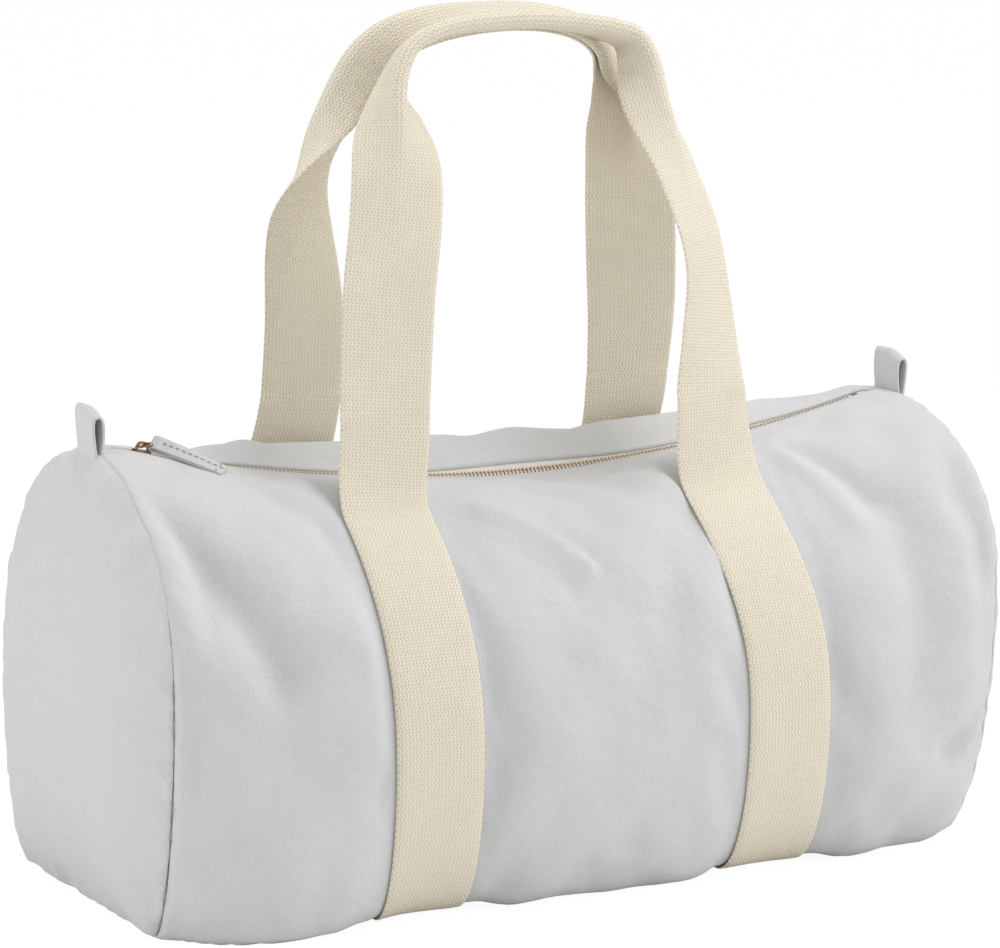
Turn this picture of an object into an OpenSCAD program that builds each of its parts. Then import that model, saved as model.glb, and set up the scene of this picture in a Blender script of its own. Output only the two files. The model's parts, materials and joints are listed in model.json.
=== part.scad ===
// Barrel bag: a canvas duffel with two webbing handles and a zip along its top.
// X runs along the bag, Y to the back, Z up. The origin is under the middle of the bag, on the floor.

/* [Bag] */
// Length of the bag between its end seams
bag_length = 500; // [460:5:560]
// Widest width of the bag across its bulges
bag_width = 262; // [240:2:290]
// Width of the bag at its end seams
end_width = 216; // [200:2:230]
// Height of the widest line above the floor
belly_z = 92; // [80:1:110]
// Height of the widest line at the end seams
end_belly_z = 110; // [95:1:120]
// Height of the crest beside the zip at mid-length
crest_mid_z = 230; // [222:1:240]
// Height of the crest at the end seams
crest_end_z = 247; // [240:1:260]
// Width of the flat base
base_width = 168; // [140:2:190]
// Width of the flat base at the end seams
end_base_width = 136; // [120:2:150]
// Thickness of the canvas
canvas_t = 1; // [0.8:0.1:1.4]
// How far each end panel bulges outward
end_bulge = 9; // [4:1:14]

/* [Webbing] */
// Width of the webbing
web_w = 50; // [40:1:56]
// Thickness of the webbing
web_t = 2.2; // [1.6:0.1:2.6]
// Distance from the middle of the bag to the middle of each webbing band
band_x = 107; // [95:1:120]
// How deep the webbing pinches each side of the bag
pinch_depth = 6; // [3:0.5:9]
// Distance from the zip to where each handle leaves the cloth
anchor_y = 60; // [52:1:70]

/* [Handles] */
// Length of each handle from its anchors to the top of its grip
handle_rise = 257; // [230:1:290]
// Width of the webbing where it is folded in half for the grip
grip_w = 25; // [20:1:26]
// Gap between the two grips where the handles lean together
grip_gap = 0.8; // [0.6:0.1:2]

/* [Zip] */
// Distance from each end seam to the end of the zip opening
zip_inset = 16; // [13:1:30]
// Height of the zip at mid-length
zip_mid_z = 216; // [210:1:222]
// How far the zip sags between its ends
zip_sag = 29; // [20:1:34]
// Distance from one tooth to the next on the same side
tooth_pitch = 2.4; // [2.2:0.1:3]
// Width of one zip tape
tape_w = 14; // [11:1:16]
// Half of the opening between the canvas edges at the zip
slot_half = 5.2; // [5:0.1:7]

/* [Puller] */
// Length of the pull tab beyond its link
tab_length = 41; // [30:1:44]
// Angle that the puller is turned from the line of the zip
pull_turn = 45; // [30:1:60]

/* [End tabs] */
// Width of each end tab
end_tab_w = 30; // [24:1:36]
// Height of each end tab above the seam
end_tab_h = 24; // [20:1:30]
// Width of the opening through each end tab
end_tab_open = 6; // [5:0.5:8]

/* [Hidden] */

canvas_grey = [0.83, 0.83, 0.83];
webbing_cream = [0.91, 0.87, 0.77];
tape_white = [0.90, 0.90, 0.88];
brass = [0.66, 0.48, 0.30];

// Clearances, and the sides of a round bar
seat_gap = 0.3;
seam_gap = 0.2;
cut_over = 1;
bar_sides = 24;

// How fast the ends draw in, and how square the crest is: 2 is an ellipse
end_power = 8;
mid_square = 2;
end_square = 2.5;
// The pinch is level under the webbing and runs out beside it
pinch_flat = web_w / 2 + 2;
pinch_run = 30;
// The valley that the zip lies in
valley_flat = 8;
valley_run = 34;
// Counts of sides round the section and of rings along the bag
crest_sides = 14;
corner_sides = 7;
base_sides = 2;
mid_rings = 4;
band_rings = 2;
outer_ring_shares = [0.09, 0.23, 0.42, 0.6, 0.78, 0.91, 1];
seam_ring_shares = [0.35, 0.66, 1];

// The zip lies on an arc whose centre is far above the bag
zip_length = bag_length - 2 * zip_inset;
zip_radius = (pow(zip_length / 2, 2) + pow(zip_sag, 2)) / (2 * zip_sag);
zip_centre_z = zip_mid_z + zip_radius;
crest_rise = crest_end_z - crest_mid_z;
crest_radius = (pow(bag_length / 2, 2) + pow(crest_rise, 2)) / (2 * crest_rise);

// Heights above the middle of the zip chain
tape_t = 0.6;
tooth_t = 2.4;
tooth_reach = 0.9;
tooth_root = 2.6;
tooth_len = 1;
canvas_over = tape_t / 2 + seat_gap + canvas_t;

body_end_x = bag_length / 2 - seam_gap;
end_panel_x = bag_length / 2;
seam_depth = 8;
seam_t = 2;
binding_gap = 0.6;

function mix(a, b, t) = a + (b - a) * t;
function unit_clamp(t) = min(1, max(0, t));
function smooth(t) = let (c = unit_clamp(t)) c * c * (3 - 2 * c);
function end_share(x) = pow(min(1, abs(x) / (bag_length / 2)), end_power);
function pinch(x) = 1 - smooth((abs(abs(x) - band_x) - pinch_flat) / pinch_run);
function half_width(x) = mix(bag_width, end_width, end_share(x)) / 2 - pinch_depth * pinch(x);
function half_base(x) = mix(base_width, end_base_width, end_share(x)) / 2;
function widest_z(x) = mix(belly_z, end_belly_z, end_share(x));
function square(x) = mix(mid_square, end_square, end_share(x));
function base_z(x) = (web_t + seat_gap) * pinch(x);
function crest_z(x) = crest_mid_z + crest_radius - sqrt(pow(crest_radius, 2) - x * x);
function zip_z(x) = zip_mid_z + zip_radius - sqrt(pow(zip_radius, 2) - x * x);
function crest_at(x, y) =
    let (n = square(x))
    widest_z(x) + (crest_z(x) - widest_z(x)) * pow(1 - pow(min(1, y / half_width(x)), n), 1 / n);
// Beyond the zip the cloth keeps the height that it has at the zip's end
function line_z(x) = zip_z(min(abs(x), zip_length / 2)) + canvas_over;
function valley(y) = exp(-pow(max(0, abs(y) - valley_flat) / valley_run, 2));
function top_z(x, y) = mix(crest_at(x, y), line_z(x), valley(y));

// One half of the section at x, from y_from beside the zip down to the middle of the base
function half_section(x, y_from) =
    let (
        w = half_width(x),
        n = square(x),
        b = half_base(x),
        zw = widest_z(x),
        zb = base_z(x),
        t_from = asin(pow(y_from / w, n / 2))
    )
    concat(
        [for (i = [0 : crest_sides])
            let (t = mix(t_from, 90, i / crest_sides), y = w * pow(sin(t), 2 / n))
            [y, i == crest_sides ? zw : top_z(x, y)]],
        [for (i = [1 : corner_sides])
            let (t = 90 * i / corner_sides)
            [b + (w - b) * cos(t), zb + (zw - zb) * (1 - sin(t))]],
        [for (i = [1 : base_sides]) [b * (1 - i / base_sides), zb]]
    );

// The whole section, from the back edge of the zip round the base to its front edge
function section(x, y_from) =
    let (half = half_section(x, y_from), last = len(half) - 1)
    concat(half, [for (i = [last - 1 : -1 : 0]) [-half[i][0], half[i][1]]]);

// A section moved outward by d, each point along its own normal
function moved_out(ring, d) =
    let (last = len(ring) - 1)
    [for (i = [0 : last])
        let (
            a = ring[max(0, i - 1)],
            b = ring[min(last, i + 1)],
            run = b - a,
            size = norm(run)
        )
        [ring[i][0] - d * run[1] / size, ring[i][1] + d * run[0] / size]];

function at_x(x, ring) = [for (p = ring) [x, p[0], p[1]]];

// Half of the opening between the canvas edges, which meet in a seam beyond the zip
zip_end_run = 8;
function edge_y(x) = mix(slot_half, seam_gap, smooth((abs(x) - zip_length / 2) / zip_end_run));

// Where the rings of the body lie
inner_edge = band_x - pinch_flat;
outer_edge = band_x + pinch_flat;
half_rings = concat(
    [for (i = [1 : mid_rings]) inner_edge * i / mid_rings],
    [for (i = [1 : band_rings]) mix(inner_edge, outer_edge, i / band_rings)],
    [for (s = outer_ring_shares) mix(outer_edge, zip_length / 2, s)],
    [for (s = seam_ring_shares) mix(zip_length / 2, body_end_x, s)]
);
body_rings = concat([for (i = [len(half_rings) - 1 : -1 : 0]) -half_rings[i]], [0], half_rings);

// A strip of cloth as a closed shell: rows of outer points and rows of inner points
module cloth_strip(outer, inner) {
    rows = len(outer);
    cols = len(outer[0]);
    count = rows * cols;
    function o(r, c) = r * cols + c;
    function n(r, c) = count + r * cols + c;
    outer_faces = [for (r = [0 : rows - 2], c = [0 : cols - 2])
        each [[o(r, c), o(r, c + 1), o(r + 1, c + 1)], [o(r, c), o(r + 1, c + 1), o(r + 1, c)]]];
    inner_faces = [for (r = [0 : rows - 2], c = [0 : cols - 2])
        each [[n(r, c), n(r + 1, c + 1), n(r, c + 1)], [n(r, c), n(r + 1, c), n(r + 1, c + 1)]]];
    first_row = [for (c = [0 : cols - 2])
        each [[o(0, c), n(0, c + 1), o(0, c + 1)], [o(0, c), n(0, c), n(0, c + 1)]]];
    last_row = [for (c = [0 : cols - 2])
        each [[o(rows - 1, c), o(rows - 1, c + 1), n(rows - 1, c + 1)],
              [o(rows - 1, c), n(rows - 1, c + 1), n(rows - 1, c)]]];
    first_col = [for (r = [0 : rows - 2])
        each [[o(r, 0), o(r + 1, 0), n(r + 1, 0)], [o(r, 0), n(r + 1, 0), n(r, 0)]]];
    last_col = [for (r = [0 : rows - 2])
        each [[o(r, cols - 1), n(r + 1, cols - 1), o(r + 1, cols - 1)],
              [o(r, cols - 1), n(r, cols - 1), n(r + 1, cols - 1)]]];
    polyhedron(
        points = concat([for (row = outer) each row], [for (row = inner) each row]),
        faces = concat(outer_faces, inner_faces, first_row, last_row, first_col, last_col)
    );
}

module body_panel() {
    color(canvas_grey)
        cloth_strip(
            [for (x = body_rings) at_x(x, section(x, edge_y(x)))],
            [for (x = body_rings) at_x(x, moved_out(section(x, edge_y(x)), -canvas_t))]
        );
}

// A domed panel on the end section: rings from the seam to the middle
end_ring_shares = [1, 0.92, 0.76, 0.54, 0.28];
module end_panel(side) {
    whole = section(end_panel_x, seam_gap);
    middle = [0, end_belly_z];
    cols = len(whole);
    rings = len(end_ring_shares);
    function ring_points(share, depth) =
        [for (p = whole)
            let (q = mix(middle, p, share))
            [side * (end_panel_x + depth + end_bulge * (1 - share * share)), q[0], q[1]]];
    outer = [for (s = end_ring_shares) ring_points(s, canvas_t)];
    inner = [for (s = end_ring_shares) ring_points(s, 0)];
    count = rings * cols;
    tip = 2 * count;
    points = concat(
        [for (row = outer) each row],
        [for (row = inner) each row],
        [[side * (end_panel_x + canvas_t + end_bulge), middle[0], middle[1]],
         [side * (end_panel_x + end_bulge), middle[0], middle[1]]]
    );
    function next(c) = (c + 1) % cols;
    outer_faces = [for (r = [0 : rings - 2], c = [0 : cols - 1])
        each [[r * cols + c, (r + 1) * cols + next(c), r * cols + next(c)],
              [r * cols + c, (r + 1) * cols + c, (r + 1) * cols + next(c)]]];
    inner_faces = [for (r = [0 : rings - 2], c = [0 : cols - 1])
        each [[count + r * cols + c, count + r * cols + next(c), count + (r + 1) * cols + next(c)],
              [count + r * cols + c, count + (r + 1) * cols + next(c), count + (r + 1) * cols + c]]];
    outer_tip = [for (c = [0 : cols - 1]) [(rings - 1) * cols + c, tip, (rings - 1) * cols + next(c)]];
    inner_tip = [for (c = [0 : cols - 1])
        [count + (rings - 1) * cols + c, count + (rings - 1) * cols + next(c), tip + 1]];
    rim = [for (c = [0 : cols - 1])
        each [[c, next(c), count + next(c)], [c, count + next(c), count + c]]];
    faces = concat(outer_faces, inner_faces, outer_tip, inner_tip, rim);
    color(canvas_grey)
        polyhedron(
            points = points,
            faces = side < 0 ? faces : [for (f = faces) [f[0], f[2], f[1]]]
        );
}

module left_end_panel() { end_panel(-1); }
module right_end_panel() { end_panel(1); }

// The bound seam allowance inside each end, a flat ring against the cloth
module seam_binding(side) {
    whole = moved_out(section(body_end_x, slot_half + tape_w), -canvas_t - binding_gap);
    deep = moved_out(whole, -seam_depth);
    far = side * (body_end_x - seam_gap);
    near = side * (body_end_x - seam_gap - seam_t);
    low = min(far, near);
    high = max(far, near);
    color(canvas_grey)
        cloth_strip([at_x(low, whole), at_x(high, whole)], [at_x(low, deep), at_x(high, deep)]);
}

module left_seam_binding() { seam_binding(-1); }
module right_seam_binding() { seam_binding(1); }

// A webbing band sewn round the bag from the front anchor, under the base, to the back anchor.
// Its ends reach under the hinge lines of the handles.
band_top_y = anchor_y - 2 * web_t;
module band(side) {
    stations = [for (i = [0 : band_rings]) side * band_x + mix(-web_w, web_w, i / band_rings) / 2];
    color(webbing_cream)
        cloth_strip(
            [for (x = stations) at_x(x, moved_out(section(x, band_top_y), seat_gap + web_t))],
            [for (x = stations) at_x(x, moved_out(section(x, band_top_y), seat_gap))]
        );
}

module left_band() { band(-1); }
module right_band() { band(1); }

// The handle's centre line, in its own plane: x across the bag and s up from the anchors
arch_in = 19;
arch_h = 92;
arch_x = band_x - arch_in;
arch_s = handle_rise - arch_h;
arch_square = 2.4;
arch_top_s = handle_rise - grip_w / 2;
leg_steps = 5;
arch_steps = 16;
// The webbing narrows up to here and is folded in half above it
fold_below_top = 36;
fold_run = 78;
fold_to_s = handle_rise - fold_below_top;
fold_from_s = fold_to_s - fold_run;
function arch_point(t) = [
    arch_x * pow(cos(t), 2 / arch_square),
    arch_s + (arch_top_s - arch_s) * pow(sin(t), 2 / arch_square)
];
handle_half_line = concat(
    [for (i = [0 : leg_steps - 1]) [mix(band_x, arch_x, i / leg_steps), arch_s * i / leg_steps]],
    [for (i = [0 : arch_steps]) arch_point(90 * i / arch_steps)]
);
function strap_half(s) = mix(web_w / 2, grip_w / 2, smooth((s - fold_from_s) / fold_run));
function edge_points(line, side) =
    let (last = len(line) - 1)
    [for (i = [0 : last])
        let (
            run = line[min(last, i + 1)] - line[max(0, i - 1)],
            along = i == last ? [-1, 0] : i == 0 ? [0, 1] : run / norm(run)
        )
        line[i] + side * strap_half(line[i][1]) * [along[1], -along[0]]];
function mirrored(points) = [for (i = [len(points) - 1 : -1 : 0]) [-points[i][0], points[i][1]]];

// The hinge line of a handle lies just outside the webbing where it leaves the cloth
anchor_x = band_x + web_w / 2;
anchor_z = top_z(anchor_x, anchor_y);
root_r = web_t / 2;
hinge_out = seat_gap + web_t + seat_gap + root_r;
surface_run = [anchor_y, anchor_z] - [anchor_y - cut_over, top_z(anchor_x, anchor_y - cut_over)];
surface_normal = [-surface_run[1], surface_run[0]] / norm(surface_run);
hinge_y = anchor_y + hinge_out * surface_normal[0];
hinge_z = anchor_z + hinge_out * surface_normal[1];
grip_t = 2 * web_t + seat_gap;
// Each handle leans until the inner edge of its grip is half the gap from the middle
grip_edge = [handle_rise, grip_t / 2];
lean = asin((hinge_y - grip_gap / 2) / norm(grip_edge)) - atan2(grip_edge[1], grip_edge[0]);

module strap_outline(from_s) {
    line = [for (p = handle_half_line) if (p[1] >= from_s) p];
    outer = edge_points(line, 1);
    inner = edge_points(line, -1);
    polygon(concat(outer, mirrored([for (i = [0 : len(outer) - 2]) outer[i]]),
        [for (p = inner) [-p[0], p[1]]],
        [for (i = [len(inner) - 2 : -1 : 0]) inner[i]]));
}

module handle() {
    color(webbing_cream)
        translate([0, -hinge_y, hinge_z])
            rotate([90 - lean, 0, 0])
                union() {
                    for (x = [-band_x, band_x])
                        translate([x - web_w / 2, 0, 0])
                            rotate([0, 90, 0])
                                cylinder(h = web_w, r = root_r, $fn = bar_sides);
                    translate([0, 0, -web_t / 2])
                        linear_extrude(web_t)
                            strap_outline(0);
                    translate([0, 0, -grip_t / 2])
                        linear_extrude(grip_t)
                            strap_outline(fold_to_s);
                }
}

module front_handle() { handle(); }
module back_handle() { rotate([0, 0, 180]) handle(); }

// A loop of folded canvas standing on the end seam
end_tab_t = 1.6;
module end_tab(side) {
    outer_r = end_tab_open / 2 + end_tab_t;
    foot_z = top_z(end_panel_x, 0) + seam_gap;
    crown_z = end_tab_h - outer_r;
    waist = end_tab_t + seam_gap / 2;
    color(canvas_grey)
        translate([side * end_panel_x, end_tab_w / 2, foot_z])
            rotate([90, 0, 0])
                linear_extrude(end_tab_w)
                    difference() {
                        union() {
                            translate([0, crown_z])
                                circle(outer_r);
                            polygon([[-waist, 0], [waist, 0], [outer_r, crown_z], [-outer_r, crown_z]]);
                        }
                        translate([0, crown_z])
                            circle(end_tab_open / 2);
                        polygon([[0, end_tab_t], [end_tab_open / 2, crown_z], [-end_tab_open / 2, crown_z]]);
                    }
}

module left_tab() { end_tab(-1); }
module right_tab() { end_tab(1); }

// Sweeps its children along the zip's arc from x_from to x_to. In them X is Y and Y is the height.
arc_sides = 360;
module along_zip(x_from, x_to) {
    a_from = asin(x_from / zip_radius);
    a_to = asin(x_to / zip_radius);
    translate([0, 0, zip_centre_z])
        rotate([90, 0, 0])
            rotate([0, 0, a_from - 90])
                rotate_extrude(angle = a_to - a_from, $fn = arc_sides)
                    translate([zip_radius, 0])
                        mirror([1, 1, 0])
                            children();
}

// What the chain carries is placed by its x on the arc
module on_zip(x) {
    translate([0, 0, zip_centre_z])
        rotate([0, -asin(x / zip_radius), 0])
            translate([0, 0, -zip_radius])
                children();
}

tape_clear = 0.5;
tape_inner_y = tooth_reach + tape_clear;
module zip_tape(side) {
    y_near = side > 0 ? tape_inner_y : -tape_inner_y - tape_w;
    color(tape_white)
        along_zip(-zip_length / 2, zip_length / 2)
            translate([y_near, -tape_t / 2])
                square([tape_w, tape_t]);
}

module zip_tape_front() { zip_tape(-1); }
module zip_tape_back() { zip_tape(1); }

// A jaw from y_from to the root, with a slot that the tape's edge lies in
module jaw(side, y_from) {
    slot_y = tape_inner_y - seam_gap;
    slot_h = tape_t + 2 * seam_gap;
    mirror([side > 0 ? 0 : 1, 0, 0])
        difference() {
            translate([y_from, -tooth_t / 2])
                square([tooth_root - y_from, tooth_t]);
            translate([slot_y, -slot_h / 2])
                square([tooth_root, slot_h]);
        }
}

stop_len = 3;
stop_gap = 1.5;
chain_inset = 9;
chain_from = -zip_length / 2 + chain_inset;
chain_to = zip_length / 2 - chain_inset;
module zip_teeth(side) {
    count = floor((chain_to - chain_from) / tooth_pitch);
    shift = side > 0 ? tooth_pitch / 2 : 0;
    color(brass)
        for (i = [0 : count - 1])
            let (x = chain_from + shift + i * tooth_pitch)
                along_zip(x, x + tooth_len)
                    jaw(side, -tooth_reach);
}

module zip_teeth_front() { zip_teeth(-1); }
module zip_teeth_back() { zip_teeth(1); }

module zip_top_stops() {
    color(brass)
        for (side = [-1, 1])
            along_zip(chain_from - stop_gap - stop_len, chain_from - stop_gap)
                jaw(side, seam_gap);
}

module zip_bottom_stop() {
    color(brass)
        along_zip(chain_to + stop_gap, chain_to + stop_gap + stop_len)
            union() {
                jaw(-1, 0);
                jaw(1, 0);
            }
}

// The slider: a plate over the teeth with a rail down each side
slider_len = 9.5;
slider_nose_w = 8.6;
slider_tail_w = 7.6;
slider_plate_t = 1.2;
rail_t = 0.9;
rail_drop = 0.8;
slider_x = chain_from + slider_len / 2;
slider_end_x = chain_to - slider_len / 2;
plate_low = tooth_t / 2 + seat_gap;
plate_high = plate_low + slider_plate_t;

module slider_outline(inset) {
    nose = slider_nose_w / 2 - inset;
    tail = slider_tail_w / 2 - inset;
    over = inset > 0 ? cut_over : 0;
    polygon([
        [-slider_len / 2 - over, -nose], [slider_len / 2 + over, -tail],
        [slider_len / 2 + over, tail], [-slider_len / 2 - over, nose]
    ]);
}

module slider_body() {
    color(brass)
        on_zip(slider_x)
            difference() {
                translate([0, 0, plate_low - rail_drop])
                    linear_extrude(slider_plate_t + rail_drop)
                        slider_outline(0);
                translate([0, 0, plate_low - rail_drop - cut_over])
                    linear_extrude(rail_drop + cut_over)
                        slider_outline(rail_t);
            }
}

// The bridge over the plate that the link hangs in
bridge_len = 8;
bridge_w = 1.8;
bridge_t = 1.2;
bridge_open_h = 4.4;
bridge_h = bridge_open_h + bridge_t;
module slider_bridge() {
    color(brass)
        on_zip(slider_x)
            translate([0, bridge_w / 2, plate_high])
                rotate([90, 0, 0])
                    linear_extrude(bridge_w)
                        difference() {
                            polygon([
                                [-bridge_len / 2, 0], [bridge_len / 2, 0],
                                [bridge_len / 2 - bridge_t, bridge_h], [-bridge_len / 2 + bridge_t, bridge_h]
                            ]);
                            polygon([
                                [-bridge_len / 2 + bridge_t, -cut_over], [bridge_len / 2 - bridge_t, -cut_over],
                                [bridge_len / 2 - 2 * bridge_t, bridge_open_h],
                                [-bridge_len / 2 + 2 * bridge_t, bridge_open_h]
                            ]);
                        }
}

// The puller's own frame: x along the puller and y along its hinge
pull_roll = 12;
link_lift = 20;
link_bar_r = 0.6;
link_open_w = 8.8;
link_open_l = 5.6;
pivot_clear = 1.5;
pull_pivot_z = plate_high + bridge_open_h - link_bar_r - pivot_clear;
link_half_w = link_open_w / 2 + link_bar_r;
link_reach = link_open_l + 2 * link_bar_r;

module on_pivot() {
    on_zip(slider_x)
        translate([0, 0, pull_pivot_z])
            rotate([0, 0, -pull_turn])
                rotate([pull_roll, 0, 0])
                    children();
}

module pull_link() {
    color(brass)
        on_pivot()
            rotate([0, -link_lift, 0])
                union() {
                    for (x = [0, link_reach])
                        translate([x, link_half_w, 0])
                            rotate([90, 0, 0])
                                cylinder(h = 2 * link_half_w, r = link_bar_r, $fn = bar_sides);
                    for (side = [-1, 1])
                        translate([0, side * link_half_w, 0])
                            rotate([0, 90, 0])
                                cylinder(h = link_reach, r = link_bar_r, $fn = bar_sides);
                    for (x = [0, link_reach], side = [-1, 1])
                        translate([x, side * link_half_w, 0])
                            sphere(link_bar_r, $fn = bar_sides);
                }
}

// The pull tab: canvas folded round the link's far bar, its two leaves sewn together
pull_tab_w = 8;
leaf_t = 1.5;
tab_rise = 2;
bar_clear = 0.15;
tab_eye_r = link_bar_r + bar_clear;
module pull_tab() {
    tail_x = tab_length - leaf_t;
    color(canvas_grey)
        on_pivot()
            rotate([0, -link_lift, 0])
                translate([link_reach, pull_tab_w / 2, 0])
                    rotate([0, link_lift - tab_rise, 0])
                        rotate([90, 0, 0])
                            linear_extrude(pull_tab_w)
                                difference() {
                                    union() {
                                        circle(tab_eye_r + leaf_t, $fn = bar_sides);
                                        polygon([
                                            [0, -tab_eye_r - leaf_t], [2 * leaf_t, -leaf_t],
                                            [tail_x, -leaf_t], [tail_x, leaf_t],
                                            [2 * leaf_t, leaf_t], [0, tab_eye_r + leaf_t]
                                        ]);
                                        translate([tail_x, 0])
                                            circle(leaf_t, $fn = bar_sides);
                                    }
                                    circle(tab_eye_r, $fn = bar_sides);
                                }
}

body_panel();
left_end_panel();
right_end_panel();
left_seam_binding();
right_seam_binding();
left_band();
right_band();
front_handle();
back_handle();
left_tab();
right_tab();
zip_tape_front();
zip_tape_back();
zip_teeth_front();
zip_teeth_back();
zip_top_stops();
zip_bottom_stop();
slider_body();
slider_bridge();
pull_link();
pull_tab();
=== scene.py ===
"""The barrel bag's looks: canvas shells, herringbone webbing, a brass zip and its puller.

All sizes are in metres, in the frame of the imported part: X along the bag, Y to the back, Z up.
"""

import json
import math

import bpy
import numpy as np
from mathutils import Matrix, Vector

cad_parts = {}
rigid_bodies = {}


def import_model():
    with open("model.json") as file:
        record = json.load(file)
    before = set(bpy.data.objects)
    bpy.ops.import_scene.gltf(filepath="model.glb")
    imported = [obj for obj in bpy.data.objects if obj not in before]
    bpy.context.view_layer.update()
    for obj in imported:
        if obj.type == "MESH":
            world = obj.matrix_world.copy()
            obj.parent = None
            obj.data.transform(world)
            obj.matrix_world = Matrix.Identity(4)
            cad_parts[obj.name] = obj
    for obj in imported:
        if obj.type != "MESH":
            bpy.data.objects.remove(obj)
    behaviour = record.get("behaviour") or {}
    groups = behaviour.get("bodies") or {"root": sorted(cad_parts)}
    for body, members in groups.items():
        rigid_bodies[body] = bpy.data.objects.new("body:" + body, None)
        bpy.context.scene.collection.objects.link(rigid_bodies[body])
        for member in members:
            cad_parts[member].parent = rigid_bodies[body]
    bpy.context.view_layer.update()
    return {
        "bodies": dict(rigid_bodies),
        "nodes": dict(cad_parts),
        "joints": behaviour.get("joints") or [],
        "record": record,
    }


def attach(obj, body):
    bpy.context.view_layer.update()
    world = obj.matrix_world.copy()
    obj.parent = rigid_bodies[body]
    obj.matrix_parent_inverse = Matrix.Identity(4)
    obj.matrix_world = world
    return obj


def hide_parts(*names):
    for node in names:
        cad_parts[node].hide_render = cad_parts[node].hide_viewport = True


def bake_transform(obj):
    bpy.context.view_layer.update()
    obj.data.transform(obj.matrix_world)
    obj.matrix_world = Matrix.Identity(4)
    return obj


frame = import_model()

MM = 0.001

# Sides are -1 and 1: left and right along X, front and back along Y. A value that differs between two
# sides is kept by side, and one that differs between all four corners by the Y side, then the X side.

# Bag
BAG_LENGTH = 0.500
BAG_WIDTH = 0.262
BELLY_Z = 0.092
END_BELLY_Z = 0.110
CREST_MID_Z = 0.230
CREST_END_Z = 0.247
CANVAS_T = 0.001
END_POWER = 8
MID_SQUARE = 2.0
END_SQUARE = 2.25
VALLEY_FLAT = {-1: 0.008, 1: 0.0055}
VALLEY_RUN = {-1: 0.034, 1: 0.017}
SEAM_GAP = 0.0002
SEAT_GAP = 0.0003

# Webbing
WEB_W = 0.050
WEB_T = 0.0022
BAND_X = 0.107
PINCH_DEPTH = 0.006
PINCH_FLAT = WEB_W / 2 + 0.002
PINCH_RUN = 0.030
HINGE_Y = 0.0621
HINGE_Z = 0.22145

# Zip
ZIP_INSET = 0.016
ZIP_MID_Z = 0.216
ZIP_SAG = 0.029
TOOTH_PITCH = 0.0024
TOOTH_T = 0.0024
TOOTH_ROOT = 0.0026
TAPE_T = 0.0006
TAPE_W = 0.014
TAPE_INNER_Y = 0.0004
SLOT_HALF = 0.0036
CHAIN_INSET = 0.009
ZIP_END_RUN = 0.008
HALF_ZIP = BAG_LENGTH / 2 - ZIP_INSET
ZIP_RADIUS = (HALF_ZIP**2 + ZIP_SAG**2) / (2 * ZIP_SAG)
ZIP_CENTRE_Z = ZIP_MID_Z + ZIP_RADIUS
CANVAS_OVER = TAPE_T / 2 + SEAT_GAP + CANVAS_T


def mix(a, b, t):
    return a + (b - a) * t


def smooth(t):
    t = np.clip(t, 0, 1)
    return t * t * (3 - 2 * t)


def unit(v):
    """Vectors along the last axis, made one long."""
    size = np.linalg.norm(v, axis=-1, keepdims=True)
    return v / np.maximum(size, 1e-12)


def through(a, b, c, d, t):
    """The smooth curve through four points in a row, at a share t of the way from b to c."""
    return 0.5 * (2 * b + (c - a) * t + (2 * a - 5 * b + 4 * c - d) * t**2 + (3 * b - a - 3 * c + d) * t**3)


def waves(position, seed, longest, shortest, count=9):
    """A smooth irregular line of about unit height: a sum of sines with seeded phases."""
    rng = np.random.default_rng(seed)
    lengths = np.geomspace(longest, shortest, count)
    phases = rng.uniform(0, 2 * math.pi, count)
    weights = rng.uniform(0.6, 1.0, count)
    line = sum(w * np.sin(2 * math.pi * position / l + p) for w, l, p in zip(weights, lengths, phases))
    return line / math.sqrt(count / 2)


# The shape of the bag: that of the part's own solids, with the swells of the stuffed cloth


def end_of(x):
    return 1 if x > 0 else -1


def end_share(x):
    """None along most of the bag, one at its end seams."""
    return min(1.0, abs(x) / (BAG_LENGTH / 2)) ** END_POWER


def pinch(x):
    """One under the bands, which draw the cloth in, none away from them."""
    return 1 - smooth((abs(abs(x) - BAND_X) - PINCH_FLAT) / PINCH_RUN)


def sagging_z(x, mid_z, rise, half_span):
    radius = (half_span**2 + rise**2) / (2 * rise)
    return mid_z + radius - math.sqrt(radius**2 - x**2)


def zip_z(x):
    return ZIP_CENTRE_Z - math.sqrt(ZIP_RADIUS**2 - x**2)


# How much the crest before and behind the zip stands over or under the part's own crest, along the bag,
# in millimetres
CREST = {
    -1: ((-250, -5), (-190, -6), (-107, -3), (0, -2), (107, -3), (200, -3), (250, -4)),
    1: ((-250, -1), (-200, 4), (-150, 8), (-107, 9), (0, 10), (107, 9), (160, 8), (205, 5), (250, 0)),
}

# Half of the base before and behind the middle, in millimetres, and half of the width at the end seams:
# the stuffed cloth sags out between the bands, more at the left and at the back
BASE = {
    -1: ((-250, 79), (-220, 102), (-186, 113), (-150, 109), (-122, 92), (-92, 91), (-55, 101), (0, 104),
         (55, 100), (92, 88), (122, 87), (155, 97), (190, 95), (220, 85), (250, 72)),
    1: ((-250, 98), (-220, 106), (-180, 110), (-122, 90), (-92, 90), (-50, 99), (0, 102),
        (50, 99), (92, 90), (122, 90), (180, 98), (220, 96), (250, 84)),
}
END_HALF_WIDTH = {-1: {-1: 0.1085, 1: 0.1165}, 1: {-1: 0.1240, 1: 0.1110}}
END_BELLY_HEIGHT = {-1: {-1: 0.137, 1: 0.148}, 1: {-1: 0.100, 1: 0.130}}
END_CORNER_POWER = 1.35

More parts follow.
